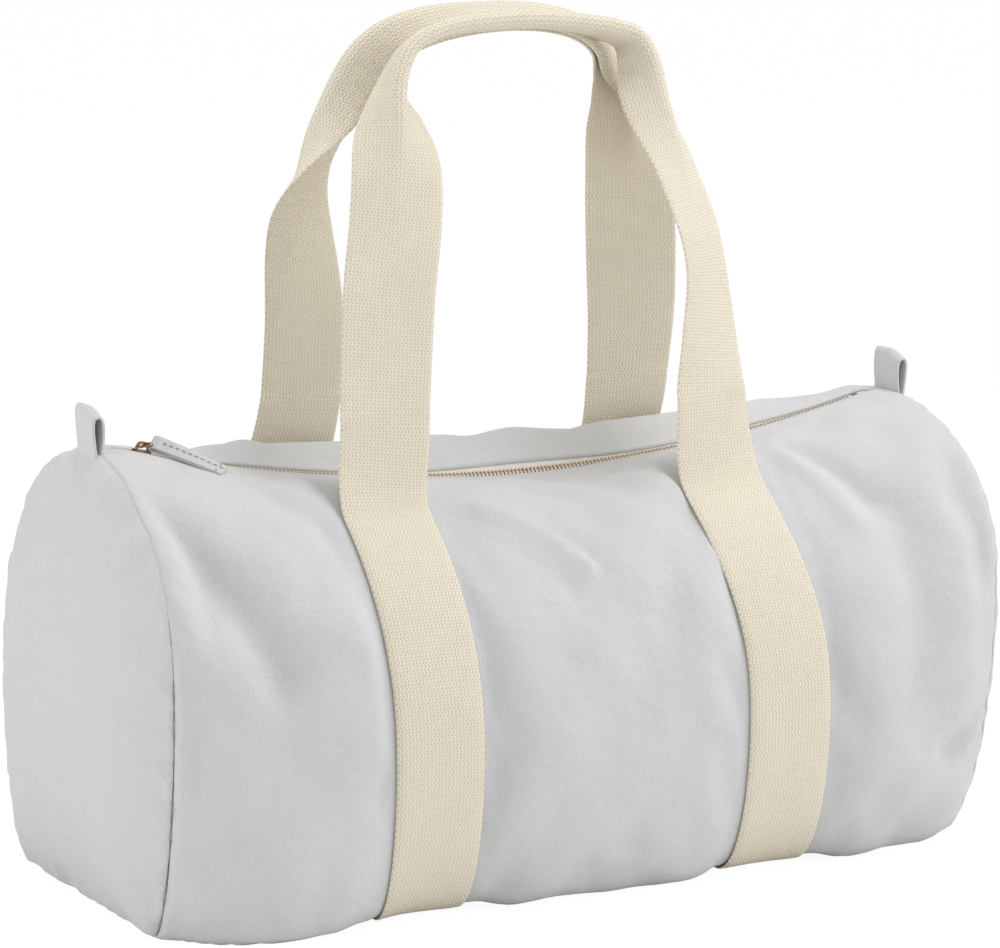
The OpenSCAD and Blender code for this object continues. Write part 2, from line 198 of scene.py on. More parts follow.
# The chain tips toward the front: from TIP_FROM inward, and most near its middle
TIP_SLOPE = 0.20
TIP_FROM = 0.150
TIP_RUN = 0.055
MID_TIP_X = 0.010
MID_TIP_SLOPE = 0.58
MID_TIP_RUN = 0.085
TIP_TO = 0.0075


def flowing_value(knots, x):
    """A smooth value at x through knots in millimetres."""
    at, values = np.array(knots, float).T * MM
    slopes = np.gradient(values, at)
    i = int(np.clip(np.searchsorted(at, x) - 1, 0, len(at) - 2))
    run = at[i + 1] - at[i]
    t = float(np.clip((x - at[i]) / run, 0, 1))
    return (values[i] * (2 * t**3 - 3 * t**2 + 1) + values[i + 1] * (3 * t**2 - 2 * t**3)
            + run * (slopes[i] * (t**3 - 2 * t**2 + t) + slopes[i + 1] * (t**3 - t**2)))


def crest_z(x, side):
    level = sagging_z(x, CREST_MID_Z, CREST_END_Z - CREST_MID_Z, BAG_LENGTH / 2)
    return level + flowing_value(CREST[side], x)


def line_z(x):
    """The height of the zip's line, level beyond the zip."""
    return zip_z(min(abs(x), HALF_ZIP))


def half_width(x, side):
    end = END_HALF_WIDTH[side][end_of(x)]
    return mix(BAG_WIDTH / 2, end, end_share(x)) - PINCH_DEPTH * pinch(x)


def chain_slope(x):
    """The slope across the chain: level where the slider stands, steepest at mid-length."""
    outer = 1 - smooth((abs(x) - TIP_FROM) / TIP_RUN)
    return TIP_SLOPE * outer + MID_TIP_SLOPE * (1 - smooth(abs(x - MID_TIP_X) / MID_TIP_RUN))


def tape_lift(x, y, side):
    """The chain tips toward the front, so the tape falls to the front cloth and rises to the back one."""
    return side * chain_slope(x) * np.minimum(y, TIP_TO)


def valley_share(y, side):
    """One where the cloth lies beside the zip, none where it has reached the crest."""
    return np.exp(-((np.maximum(0, y - VALLEY_FLAT[side]) / VALLEY_RUN[side]) ** 2))


def edge_y(x):
    """Half of the slot between the canvas edges, which meet beyond the zip."""
    return mix(SLOT_HALF, SEAM_GAP, smooth((abs(x) - HALF_ZIP) / ZIP_END_RUN))


def half_section(x, side, y_from, steps=80):
    """Y and Z from beside the zip down to the middle of the base, on one side of the bag."""
    e = end_share(x)
    w = half_width(x, side)
    n = mix(MID_SQUARE, END_SQUARE, e)
    b = flowing_value(BASE[side], x)
    zw = mix(BELLY_Z, END_BELLY_HEIGHT[side][end_of(x)], e)
    zb = (WEB_T + SEAT_GAP) * pinch(x)
    t_from = math.asin((y_from / w) ** (n / 2))
    t = np.linspace(t_from, math.pi / 2, steps)
    y = w * np.sin(t) ** (2 / n)
    arch = np.clip(1 - (y / w) ** n, 0, 1) ** (1 / n)
    over_tape = line_z(x) + CANVAS_OVER + tape_lift(x, y, side)
    z = mix(zw + (crest_z(x, side) - zw) * arch, over_tape, valley_share(y, side))
    z[-1] = zw
    turn = np.linspace(0, math.pi / 2, steps)[1:]
    corner_y = b + (w - b) * np.cos(turn) ** mix(1, END_CORNER_POWER, e)
    corner_z = zb + (zw - zb) * (1 - np.sin(turn))
    y = np.concatenate([y, corner_y, [0.0]])
    z = np.concatenate([z, corner_z, [zb]])
    return np.stack([side * y, z], 1)


def whole_section(x, y_from):
    """From the front edge of the zip, under the base, to its back edge."""
    front = half_section(x, -1, y_from)
    back = half_section(x, 1, y_from)
    return np.concatenate([front, back[-2::-1]])


def run_along(line):
    """A polyline's length so far at each of its points."""
    return np.concatenate([[0], np.cumsum(np.linalg.norm(np.diff(line, axis=0), axis=1))])


def evened(line, run, count):
    """A polyline as count rows with even spacing, and its length so far at each of them."""
    at = np.linspace(0, run[-1], count)
    return np.stack([np.interp(at, run, line[:, k]) for k in range(line.shape[1])], 1), at


def spaced(line, count):
    return evened(line, run_along(line), count)


def inward(ring):
    """Unit vectors toward the bag's inside, at each point of a section's outline."""
    way = unit(np.gradient(ring, axis=0))
    return np.stack([-way[:, 1], way[:, 0]], 1)


def from_zip(girth):
    """The way along the girth to the nearer of the zip's two edges."""
    return np.minimum(girth, girth[..., -1:] - girth)


def at_x(x, ring):
    return np.column_stack([np.full(len(ring), x), ring])


# Meshes


def grid_faces(rows, cols, first=0, wrap=False):
    """Quads of a grid of points, with the last column joined to the first one if it wraps."""
    r = np.arange(rows - 1)[:, None]
    c = np.arange(cols if wrap else cols - 1)[None, :]
    d = (c + 1) % cols
    quads = np.stack([r * cols + c, r * cols + d, (r + 1) * cols + d, (r + 1) * cols + c], -1)
    return quads.reshape(-1, 4) + first


def grid_normals(grid):
    """Unit normals of a grid of points, along the cross product of its two directions."""
    along = np.gradient(grid, axis=0)
    across = np.gradient(grid, axis=1)
    return unit(np.cross(along, across))


def in_scene(name, data):
    """A new object at the origin that shows the data."""
    made = bpy.data.objects.new(name, data)
    bpy.context.scene.collection.objects.link(made)
    return made


def mesh_object(name, points, faces, uv=None, material=None, flat=False):
    mesh = bpy.data.meshes.new(name)
    mesh.from_pydata([tuple(p) for p in points], [], [tuple(int(i) for i in f) for f in faces])
    if uv is not None:
        layer = mesh.uv_layers.new(name="surface")
        corner = np.zeros(len(mesh.loops), np.int32)
        mesh.loops.foreach_get("vertex_index", corner)
        layer.data.foreach_set("uv", np.asarray(uv, np.float32)[corner].ravel())
    if not flat:
        mesh.polygons.foreach_set("use_smooth", np.ones(len(mesh.polygons), bool))
    mesh.update()
    if material is not None:
        mesh.materials.append(material)
    return in_scene(name, mesh)


def drop(piece):
    """Takes away a piece that was only a help."""
    mesh = piece.data
    bpy.data.objects.remove(piece)
    bpy.data.meshes.remove(mesh)


def sharpen(piece, angle):
    """Keeps edges crisp where faces meet at more than an angle in degrees."""
    piece.data.set_sharp_from_angle(angle=math.radians(angle))
    return piece


def shell(name, grid, uv, thickness, material):
    """A closed shell: a grid of outer points, whose normals point outward, and the wall inside it."""
    rows, cols = grid.shape[:2]
    count = rows * cols
    inner = grid - grid_normals(grid) * thickness
    points = np.concatenate([grid.reshape(-1, 3), inner.reshape(-1, 3)])
    outer_faces = grid_faces(rows, cols)[:, ::-1]
    inner_faces = grid_faces(rows, cols, count)
    border = np.concatenate([
        np.arange(cols),
        np.arange(1, rows) * cols + cols - 1,
        (rows - 1) * cols + np.arange(cols - 2, -1, -1),
        np.arange(rows - 2, 0, -1) * cols,
    ])
    after = np.roll(border, -1)
    rim = np.stack([border, after, after + count, border + count], 1)
    faces = np.concatenate([outer_faces, inner_faces, rim])
    flat_uv = np.concatenate([uv.reshape(-1, 2)] * 2)
    return outward(mesh_object(name, points, faces, flat_uv, material))


def tube_between(name, rings, material, uv=None, closed=False):
    """A closed body through rings of points, with flat caps on its two ends unless it is a loop."""
    rings = np.asarray(rings)
    rows, around = rings.shape[:2]
    if closed:
        faces = [tuple(f) for f in grid_faces(rows + 1, around, wrap=True) % (rows * around)]
    else:
        faces = [tuple(f) for f in grid_faces(rows, around, wrap=True)]
        faces.append(tuple(range(around))[::-1])
        faces.append(tuple((rows - 1) * around + i for i in range(around)))
    flat_uv = None if uv is None else uv.reshape(-1, 2)
    return outward(mesh_object(name, rings.reshape(-1, 3), faces, flat_uv, material))


def spread(u, v):
    """Surface coordinates of a grid from its two directions."""
    return np.stack(np.broadcast_arrays(u, v), -1)


def outward(piece):
    """Turns a closed mesh's faces outward where its volume comes out negative."""
    mesh = piece.data
    mesh.calc_loop_triangles()
    co = np.zeros(len(mesh.vertices) * 3)
    mesh.vertices.foreach_get("co", co)
    tri = np.zeros(len(mesh.loop_triangles) * 3, np.int32)
    mesh.loop_triangles.foreach_get("vertices", tri)
    a, b, c = np.moveaxis(co.reshape(-1, 3)[tri.reshape(-1, 3)], 1, 0)
    if np.einsum("ij,ij->i", a, np.cross(b, c)).sum() < 0:
        mesh.flip_normals()
    return piece


def fitted(piece, node, body):
    """Hides the node that a piece shows and hangs the piece on the body that carries it."""
    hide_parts(node)
    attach(piece, body)


# Materials


class Nodes:
    """A short way to write a material's nodes."""

    def __init__(self, name):
        self.material = bpy.data.materials.new(name)
        self.material.use_nodes = True
        self.tree = self.material.node_tree
        self.shader = self.tree.nodes["Principled BSDF"]
        self.output = self.tree.nodes["Material Output"]

    def add(self, kind, inputs=(), **settings):
        node = self.tree.nodes.new(kind)
        for key, value in settings.items():
            setattr(node, key, value)
        for key, value in dict(inputs).items():
            self.put(node.inputs[key], value)
        return node

    def put(self, socket, value):
        """Links another node's output to a socket, or sets the socket to a plain value."""
        if isinstance(value, bpy.types.NodeSocket):
            self.tree.links.new(value, socket)
        else:
            socket.default_value = value

    def math(self, operation, a, b=0.0, c=0.0):
        return self.add("ShaderNodeMath", {0: a, 1: b, 2: c}, operation=operation).outputs[0]

    def noise(self, vector, scale, detail=2.0, roughness=0.5):
        inputs = {"Vector": vector, "Scale": scale, "Detail": detail, "Roughness": roughness}
        return self.add("ShaderNodeTexNoise", inputs).outputs["Fac"]

    def stretched(self, vector, scale):
        return self.add("ShaderNodeMapping", {"Vector": vector, "Scale": scale}).outputs[0]

    def ranged(self, value, low, high, to_low=0.0, to_high=1.0):
        inputs = {"Value": value, "From Min": low, "From Max": high, "To Min": to_low, "To Max": to_high}
        return self.add("ShaderNodeMapRange", inputs).outputs[0]

    def blend(self, factor, a, b):
        node = self.add("ShaderNodeMix", data_type="RGBA")
        for key, value in (("Factor", factor), ("A", a), ("B", b)):
            self.put(next(s for s in node.inputs if s.name == key and s.enabled), value)
        return next(s for s in node.outputs if s.enabled)

    def set(self, **values):
        names = {"color": "Base Color", "normal": "Normal", "roughness": "Roughness", "metallic": "Metallic",
                 "sheen": "Sheen Weight", "sheen_roughness": "Sheen Roughness",
                 "specular": "Specular IOR Level"}
        for key, value in values.items():
            self.put(self.shader.inputs[names[key]], value)
        return self.material

    def bump(self, height, distance, strength=1.0, under=None):
        inputs = {"Height": height, "Distance": distance, "Strength": strength}
        if under is not None:
            inputs["Normal"] = under
        return self.add("ShaderNodeBump", inputs).outputs[0]

    def surface(self):
        return self.add("ShaderNodeUVMap", uv_map="surface").outputs[0]

    def place(self):
        return self.add("ShaderNodeTexCoord").outputs["Object"]


def toned(color, gain):
    """A colour made darker or lighter."""
    return tuple(min(1.0, gain * c) for c in color[:3]) + (1,)


YARN_PITCH = 0.00055
SLUB_ALONG = 190
SLUB_ACROSS = 1100
CLOUD_SCALE = 14.0
CRUMPLE_SCALE = 230.0
CRUMPLE_DEPTH = 0.0008
CREASE_SCALE = 45.0
CREASE_DEPTH = 0.0038
YARN_DEPTH = 0.0002
SEED_CELL = 0.020
SEED_SIZE = 0.00045
SEEDLESS_SHARE = 0.4
CANVAS_COLOR = (0.655, 0.657, 0.662, 1)


def canvas_material(name, color):
    """Plain-woven cotton canvas with slubs and a few dark cotton seeds."""
    n = Nodes(name)
    surface = n.surface()
    axes = n.add("ShaderNodeSeparateXYZ", {"Vector": surface})
    u, v = axes.outputs[0], axes.outputs[1]
    warp = n.math("SINE", n.math("MULTIPLY", u, math.pi / YARN_PITCH))
    weft = n.math("SINE", n.math("MULTIPLY", v, math.pi / YARN_PITCH))
    weave = n.math("MULTIPLY", warp, weft)
    slub_u = n.noise(n.stretched(surface, (SLUB_ALONG, SLUB_ACROSS, 1)), 1.0, 3.0)
    slub_v = n.noise(n.stretched(surface, (SLUB_ACROSS, SLUB_ALONG, 1)), 1.0, 3.0)
    slubs = n.math("ADD", slub_u, slub_v)
    cloudy = n.noise(surface, CLOUD_SCALE, 3.0, 0.55)
    shade = n.math("ADD", n.math("MULTIPLY", slubs, 0.09), n.math("MULTIPLY", cloudy, 0.07))
    cloth = n.blend(n.ranged(shade, 0.06, 0.19), toned(color, 0.95), toned(color, 1.04))
    cells = n.add("ShaderNodeTexVoronoi", {"Vector": surface, "Scale": 1 / SEED_CELL, "Randomness": 1.0},
                  voronoi_dimensions="2D")
    pick = n.add("ShaderNodeSeparateColor", {"Color": cells.outputs["Color"]})
    smaller = n.ranged(pick.outputs[1], 0.0, 1.0, 0.8, 2.2)
    off = n.math("MULTIPLY", cells.outputs["Distance"], smaller)
    near = n.ranged(off, 0.5 * SEED_SIZE / SEED_CELL, SEED_SIZE / SEED_CELL, 1.0, 0.0)
    chosen = n.math("GREATER_THAN", pick.outputs[0], SEEDLESS_SHARE)
    seed = n.math("MULTIPLY", n.math("MULTIPLY", near, chosen), n.ranged(pick.outputs[2], 0.0, 1.0, 0.2, 0.8))
    yarns = n.math("ADD", n.math("MULTIPLY", weave, 0.3), n.math("MULTIPLY", slubs, 2.0))
    fine = n.bump(yarns, YARN_DEPTH, 0.7)
    crumpled = n.bump(n.noise(surface, CRUMPLE_SCALE, 3.0, 0.65), CRUMPLE_DEPTH, 0.4, fine)
    creased = n.bump(n.noise(surface, CREASE_SCALE, 3.0, 0.5), CREASE_DEPTH, 0.5, crumpled)
    return n.set(color=n.blend(seed, cloth, toned(color, 0.42)), roughness=0.92, normal=creased,
                 sheen=0.12, sheen_roughness=0.6, specular=0.25)


ROW_PITCH = 0.00175
GRAIN_PITCH = 0.0021
GRAIN_SLANT = 0.62
GRAIN_DEPTH = 0.00055
WEBBING_COLOR = (0.920, 0.850, 0.705, 1)
# The groove colour is painted shade between the grains.
WEBBING_GROOVE_SHADE = (0.730, 0.645, 0.490, 1)


def webbing_material(name):
    """Herringbone cotton webbing: rows of slanted grains that lean the other way in each next row, with
    painted shade in the grooves between them.
    """
    n = Nodes(name)
    surface = n.surface()
    axes = n.add("ShaderNodeSeparateXYZ", {"Vector": surface})
    u, v = axes.outputs[0], axes.outputs[1]
    wander = n.math("MULTIPLY", n.math("SUBTRACT", n.noise(surface, 160.0, 2.0), 0.5), 0.5)
    row = n.math("DIVIDE", v, ROW_PITCH)
    in_row = n.math("FRACT", row)
    odd = n.math("MODULO", n.math("ABSOLUTE", n.math("FLOOR", row)), 2.0)
    lean = n.math("SUBTRACT", n.math("MULTIPLY", odd, 2.0), 1.0)
    shift = n.math("MULTIPLY", n.math("MULTIPLY", lean, GRAIN_SLANT), n.math("SUBTRACT", in_row, 0.5))
    column = n.math("ADD", n.math("DIVIDE", u, GRAIN_PITCH), shift)
    column = n.math("ADD", column, wander)
    across = n.math("POWER", n.math("ABSOLUTE", n.math("SINE", n.math("MULTIPLY", column, math.pi))), 0.7)
    along = n.math("POWER", n.math("ABSOLUTE", n.math("SINE", n.math("MULTIPLY", in_row, math.pi))), 0.28)
    grain = n.math("MULTIPLY", across, along)
    fibres = n.noise(n.stretched(surface, (900, 4200, 1)), 1.0, 2.0)
    worn = n.noise(surface, 22.0, 3.0, 0.6)
    tone = n.math("ADD", n.ranged(grain, 0.05, 0.75), n.math("MULTIPLY", n.math("SUBTRACT", worn, 0.5), 0.35))
    # Darker in the grooves between the grains, which is painted shade, and patchy from random wear.
    cotton = n.blend(tone, WEBBING_GROOVE_SHADE, WEBBING_COLOR)
    height = n.math("ADD", grain, n.math("MULTIPLY", fibres, 0.25))
    return n.set(color=cotton, roughness=0.9, normal=n.bump(height, GRAIN_DEPTH, 0.85),
                 sheen=0.15, sheen_roughness=0.6, specular=0.25)


TAPE_RIB = 0.0007
TAPE_PICK = 0.0006
# The groove colour is painted shade between the yarns.
TAPE_GROOVE_SHADE = (0.80, 0.79, 0.77, 1)
TAPE_COLOR = (0.90, 0.89, 0.87, 1)


def tape_material(name):
    """Woven zip tape with fine ribs along its length, with painted shade between the yarns."""
    n = Nodes(name)
    surface = n.surface()
    axes = n.add("ShaderNodeSeparateXYZ", {"Vector": surface})
    ribs = n.math("SINE", n.math("MULTIPLY", axes.outputs[0], 2 * math.pi / TAPE_RIB))
    picks = n.math("SINE", n.math("MULTIPLY", axes.outputs[1], 2 * math.pi / TAPE_PICK))
    woven = n.math("MULTIPLY", ribs, picks)
    # Darker where the weave is low: painted shade.
    color = n.blend(n.ranged(woven, -1, 1), TAPE_GROOVE_SHADE, TAPE_COLOR)
    return n.set(color=color, roughness=0.85, normal=n.bump(woven, 0.00012, 0.6), specular=0.3)


def brass_material(name, color, dark, roughness):
    """Antiqued brass: darker in random stained patches, worn bright elsewhere."""
    n = Nodes(name)
    place = n.place()
    stain = n.ranged(n.noise(place, 520.0, 4.0, 0.65), 0.42, 0.68)
    fine = n.noise(place, 2600.0, 3.0)
    color = n.blend(n.math("MULTIPLY", stain, 0.55), color, dark)
    rough = n.ranged(fine, 0.3, 0.7, roughness - 0.08, roughness + 0.12)
    return n.set(color=color, metallic=1.0, roughness=rough, normal=n.bump(fine, 0.00006, 0.5))


def thread_material(name, color):
    """Sewing thread with its twist, and painted shade in the grooves of the twist."""
    n = Nodes(name)
    place = n.place()
    twist = n.add("ShaderNodeTexWave", {"Vector": place, "Scale": 900.0, "Distortion": 1.0}).outputs["Fac"]
    # The darker colour follows the low parts of the twist: painted shade.
    return n.set(color=n.blend(twist, toned(color, 0.8), color), roughness=0.8,
                 normal=n.bump(twist, 0.00005, 0.5))


CANVAS = canvas_material("grey_canvas", CANVAS_COLOR)
WEBBING = webbing_material("cream_webbing")
TAPE = tape_material("zip_tape_weave")
BRASS = brass_material("antique_brass", (0.36, 0.21, 0.12, 1), (0.10, 0.06, 0.04, 1), 0.30)
# Both rows of teeth are the same brass. The front row's darker colour is painted shade, and the back row's
# lighter colour is a painted highlight.
SHADED_TEETH = brass_material("shaded_brass_teeth", (0.36, 0.23, 0.12, 1), (0.14, 0.08, 0.04, 1), 0.36)
LIT_TEETH = brass_material("lit_brass_teeth", (0.84, 0.70, 0.50, 1), (0.50, 0.36, 0.20, 1), 0.36)
THREAD = thread_material("grey_thread", (0.42, 0.42, 0.43, 1))


# The canvas body

BODY_ROWS = 150
BODY_COLS = 230


def body_rings(rows, cols):
    """The body as a grid: rows from left to right, columns from the front zip edge to the back one."""
    edge = BAG_LENGTH / 2 - SEAM_GAP
    stations = np.linspace(-edge, edge, rows)
    grid = np.zeros((rows, cols, 3))
    girth = np.zeros((rows, cols))
    for i, x in enumerate(stations):
        ring, run = spaced(whole_section(x, edge_y(x)), cols)
        grid[i] = at_x(x, ring)
        girth[i] = run
    return grid, girth


SEAM_ROLL = 0.0022
SEAM_SINK = 0.0013
RIM_START = 0.00025
PUCKER = 0.0014
PUCKER_REACH = 0.016
ZIP_FADE = (0.004, 0.024)


def seam_drop(distance):
    """How far cloth dips as it turns into a seam."""
    near = np.clip(1 - distance / SEAM_ROLL, 0, 1)
    return SEAM_ROLL * (1 - np.sqrt(np.clip(1 - near**2, 0, 1)))


def seam_pull(side, girth):
    """How far the thread draws the two cloths of an end seam inward, along the seam."""
    return PUCKER * (0.5 + 0.5 * np.tanh(waves(girth, 11 if side < 0 else 12, 0.060, 0.013)))


def beside_zip(girth):
    """None at the zip's two edges, one away from them."""
    return smooth((from_zip(girth) - ZIP_FADE[0]) / (ZIP_FADE[1] - ZIP_FADE[0]))


def sewn_body(grid, girth):
    """Draws the body's ends into their seams, with small puckers along them."""
    normals = -grid_normals(grid)
    x = grid[:, :, 0]
    distance = BAG_LENGTH / 2 - np.abs(x)
    pull = np.where(x < 0, seam_pull(-1, girth), seam_pull(1, girth))
    move = (pull * np.exp(-((distance / PUCKER_REACH) ** 2)) + seam_drop(distance)) * beside_zip(girth)
    return grid - normals * move[:, :, None]


# Soft folds of the front and the back cloth, in millimetres: where each starts and ends along the bag
# and along the girth from the zip, how broad it is and how high it stands
FRONT_FOLDS = (
    (-252, 66, -186, 176, 15, -4.6), (-226, 62, -150, 150, 19, 3.0), (-172, 48, -136, 104, 10, -1.8),
    (-238, 108, -200, 205, 26, -3.6), (-243, 186, -222, 250, 12, 1.8), (-200, 200, -160, 250, 18, -2.2),
    (-150, 120, -138, 210, 13, 1.8),
    (-60, 68, -4, 116, 5, 2.6), (-64, 84, -14, 130, 8, -1.3), (-30, 40, 14, 66, 9, -1.2),
    (60, 66, 30, 150, 15, -1.0), (40, 36, 74, 74, 9, 1.5), (-70, 150, -20, 240, 20, 1.8),
    (20, 170, 70, 240, 18, -1.5),
    (139, 44, 166, 112, 8, 2.2), (150, 40, 182, 100, 7, -1.6), (186, 84, 184, 215, 14, -2.6),
    (214, 90, 216, 220, 14, 1.7), (252, 236, 212, 256, 8, -3.6), (146, 180, 176, 250, 16, 1.5),
)
BACK_FOLDS = (
    (-250, 70, -180, 170, 16, -3.5), (-200, 60, -150, 130, 15, 2.2), (-60, 60, -10, 140, 9, 1.8),
    (70, 60, 25, 160, 16, -2.2), (186, 80, 190, 210, 14, -2.4), (212, 90, 216, 210, 13, 1.6),
    (140, 50, 170, 120, 9, 1.8), (-160, 150, -140, 230, 14, -1.6),
)
FOLD_GAIN = 1.9
FOLD_BOW = 0.06
SWELL = 0.0012
CLEAR_SEAM = (0.003, 0.026)
CLEAR_BAND = (0.002, 0.018)
CLEAR_ZIP = (0.010, 0.030)


def clear_of(distance, limits):
    return smooth((distance - limits[0]) / (limits[1] - limits[0]))


def free_share(x, reach):
    """One where the cloth hangs free, none where it is sewn: at the end seams, the bands and the zip."""
    seam = clear_of(BAG_LENGTH / 2 - np.abs(x), CLEAR_SEAM)
    webbing = clear_of(np.abs(np.abs(x) - BAND_X) - WEB_W / 2, CLEAR_BAND)
    return seam * webbing * clear_of(reach, CLEAR_ZIP)


def fold_height(x, reach, fold):
    """A fold's height over the cloth: a round ridge or valley that runs out softly at both ends."""
    start, finish, (width, height) = np.array(fold).reshape(3, 2) * MM
    run = finish - start
    length = np.linalg.norm(run)
    run = run / length
    along = (x - start[0]) * run[0] + (reach - start[1]) * run[1]
    off = (x - start[0]) * run[1] - (reach - start[1]) * run[0]
    bow = FOLD_BOW * length * np.sin(np.clip(along / length, 0, 1) * math.pi)
    ends = smooth((along + width) / (2.2 * width)) * smooth((length + width - along) / (2.2 * width))
    return FOLD_GAIN * height * np.exp(-(((off - bow) / width) ** 2)) * ends


def folded_body(grid, girth):
    """Lifts and lowers the free cloth in soft folds, over a faint unevenness of the stuffing."""
    x = grid[:, :, 0]
    height = sum(fold_height(x, girth, fold) for fold in FRONT_FOLDS)
    height = height + sum(fold_height(x, girth[:, -1:] - girth, fold) for fold in BACK_FOLDS)
    one_way = waves(x * 0.8 + girth * 0.6, 51, 0.160, 0.045, 6)
    other_way = waves(girth - 0.5 * x, 52, 0.150, 0.050, 6)
    height = height + SWELL * (one_way + other_way) / 1.4
    normals = -grid_normals(grid)
    return grid + normals * (height * free_share(x, from_zip(girth)))[:, :, None]


# A cloth simulation gives the free cloth the creases of canvas a little too long for its stitched edges

SETTLE_ROWS = 100
SETTLE_COLS = 160
SETTLE_FRAMES = 12
SETTLE_GROWTH = 0.020
SETTLE_PRESSURE = 2.0
SETTLE_CAP = 0.0045
SETTLE_GAIN = 1.5
NOISE_PASSES = 2
BULGE_PASSES = 60
BULGE_LEFT_OUT = 0.85
FLOOR_CLEAR = 0.0015
HELD_SHARE = 0.02


def sewn_points(grid, girth):
    """Which points the simulation holds: at the seams, under the webbing, beside the zip, on the floor."""
    return (free_share(grid[:, :, 0], from_zip(girth)) < HELD_SHARE) | (grid[:, :, 2] < FLOOR_CLEAR)


def settled(grid, girth):
    """Where the points of the body come to rest in the simulation."""
    rows, cols = grid.shape[:2]
    piece = mesh_object("settling_cloth", grid.reshape(-1, 3), grid_faces(rows, cols), flat=True)
    held = piece.vertex_groups.new(name="held")
    held.add([int(i) for i in np.flatnonzero(sewn_points(grid, girth).ravel())], 1.0, "REPLACE")
    cloth = piece.modifiers.new("settling", "CLOTH")
    how = cloth.settings
    how.quality = 6
    how.mass = 0.02
    how.tension_stiffness = how.compression_stiffness = 15
    how.shear_stiffness = 5
    how.bending_stiffness = 0.4
    how.air_damping = 3
    how.vertex_group_mass = "held"
    how.shrink_min = -SETTLE_GROWTH
    how.use_pressure = True
    how.uniform_pressure_force = SETTLE_PRESSURE
    how.effector_weights.gravity = 0.0
    cloth.collision_settings.use_collision = False
    cloth.point_cache.frame_start, cloth.point_cache.frame_end = 1, SETTLE_FRAMES
    for moment in range(1, SETTLE_FRAMES + 1):
        bpy.context.scene.frame_set(moment)
    view = bpy.context.evaluated_depsgraph_get()
    resting = np.zeros(rows * cols * 3)
    piece.evaluated_get(view).data.vertices.foreach_get("co", resting)
    bpy.context.scene.frame_set(1)
    drop(piece)
    return resting.reshape(rows, cols, 3)


def softened(field, passes):
    """The field averaged with its neighbours, both ways."""
    for _ in range(passes):
        for axis in (0, 1):
            wide = np.concatenate([field.take([0], axis), field, field.take([-1], axis)], axis)
            count = field.shape[axis]
            low, high = (wide.take(range(k, k + count), axis) for k in (0, 2))
            field = (low + 2 * field + high) / 4
    return field


def resampled(field, count, axis):
    """The field with another count of even steps along one axis, through a smooth curve."""
    last = field.shape[axis] - 1
    at = np.linspace(0, last, count)
    i = np.minimum(at.astype(int), last - 1)
    t = (at - i).reshape([-1 if k == axis else 1 for k in range(field.ndim)])
    return through(*(field.take(np.clip(i + k, 0, last), axis) for k in (-1, 0, 1, 2)), t)


def settling(rows, cols):
    """The creases of the settled cloth, without its broad bulge: how far each point of the grid moves."""
    grid, girth = body_rings(SETTLE_ROWS, SETTLE_COLS)
    start = folded_body(grid, girth)
    move = softened(settled(start, girth) - start, NOISE_PASSES)
    move = (move - BULGE_LEFT_OUT * softened(move, BULGE_PASSES)) * SETTLE_GAIN
    size = np.linalg.norm(move, axis=2, keepdims=True)
    move = move * SETTLE_CAP * np.tanh(size / SETTLE_CAP) / np.maximum(size, 1e-9)
    return resampled(resampled(move, rows, 0), cols, 1)


def canvas_body():
    grid, girth = body_rings(BODY_ROWS, BODY_COLS)
    surface = folded_body(grid, girth)
    share = smooth(5 * free_share(grid[:, :, 0], from_zip(girth)))
    surface = surface + settling(BODY_ROWS, BODY_COLS) * share[:, :, None]
    surface[:, :, 2] = np.maximum(surface[:, :, 2], 0)
    surface = sewn_body(surface, girth)
    uv = spread(grid[:, :, 0], girth)
    return shell("body_canvas", surface[:, ::-1], uv[:, ::-1], CANVAS_T, CANVAS)


fitted(canvas_body(), "body_panel", "bag")


# The end panels

END_RINGS = 46
END_COLS = 220
END_DOME = {-1: 0.023, 1: 0.012}
DOME_POWER = 3.4
PUCKER_START = 0.004


def disc(name, rings, tip, thickness, material, side):
    """A closed domed panel of rings about a tip, with its outer face toward side."""
    rows, cols = rings.shape[:2]
    count = rows * cols
    outer = np.concatenate([rings.reshape(-1, 3), [tip]])
    points = np.concatenate([outer, outer - [side * thickness, 0, 0]])
    faces = [tuple(f) for f in grid_faces(rows, cols, wrap=True)]
    faces += [tuple(f)[::-1] for f in grid_faces(rows, cols, count + 1, wrap=True)]
    for i in range(cols):
        j = (i + 1) % cols
        faces.append((count - cols + i, count - cols + j, count))
        faces.append((2 * count - cols + 1 + j, 2 * count - cols + 1 + i, 2 * count + 1))
        faces.append((j, i, count + 1 + i, count + 1 + j))
    return outward(mesh_object(name, points, faces, points[:, 1:], material))


def end_canvas(side, name, seed):
    x_seam = side * BAG_LENGTH / 2
    outline, run = spaced(whole_section(x_seam, SEAM_GAP), END_COLS + 1)
    sink = (SEAM_SINK + seam_pull(side, run)) * beside_zip(run)
    outline = outline + inward(outline) * sink[:, None]
    outline, run = outline[:-1], run[:-1]
    middle = np.array([0, END_BELLY_Z])
    shares = 1 - np.linspace(0, 0.985, END_RINGS) ** 1.25
    grid = np.zeros((END_RINGS, END_COLS, 3))
    for i, share in enumerate(shares):
        ring = mix(middle, outline, share)
        gap = np.linalg.norm(outline - ring, axis=1)
        fade = np.exp(-((gap / PUCKER_REACH) ** 2)) * smooth(gap / PUCKER_START)
        puckers = PUCKER * fade * waves(run, seed, 0.07, 0.015)
        dome = CANVAS_T + END_DOME[side] * (1 - share**DOME_POWER) - seam_drop(gap + RIM_START) + puckers
        grid[i] = np.column_stack([x_seam + side * dome, ring])
    tip = grid[-1].mean(0)
    return disc(name, grid, tip, CANVAS_T, CANVAS, side)


for side, label, seed in ((-1, "left", 21), (1, "right", 22)):
    fitted(end_canvas(side, f"{label}_end_canvas", seed), f"{label}_end_panel", "bag")


# Webbing

WEB_STEP = ROW_PITCH / 2
SCALLOP = 0.00013
WEBBING_CREASE = 75


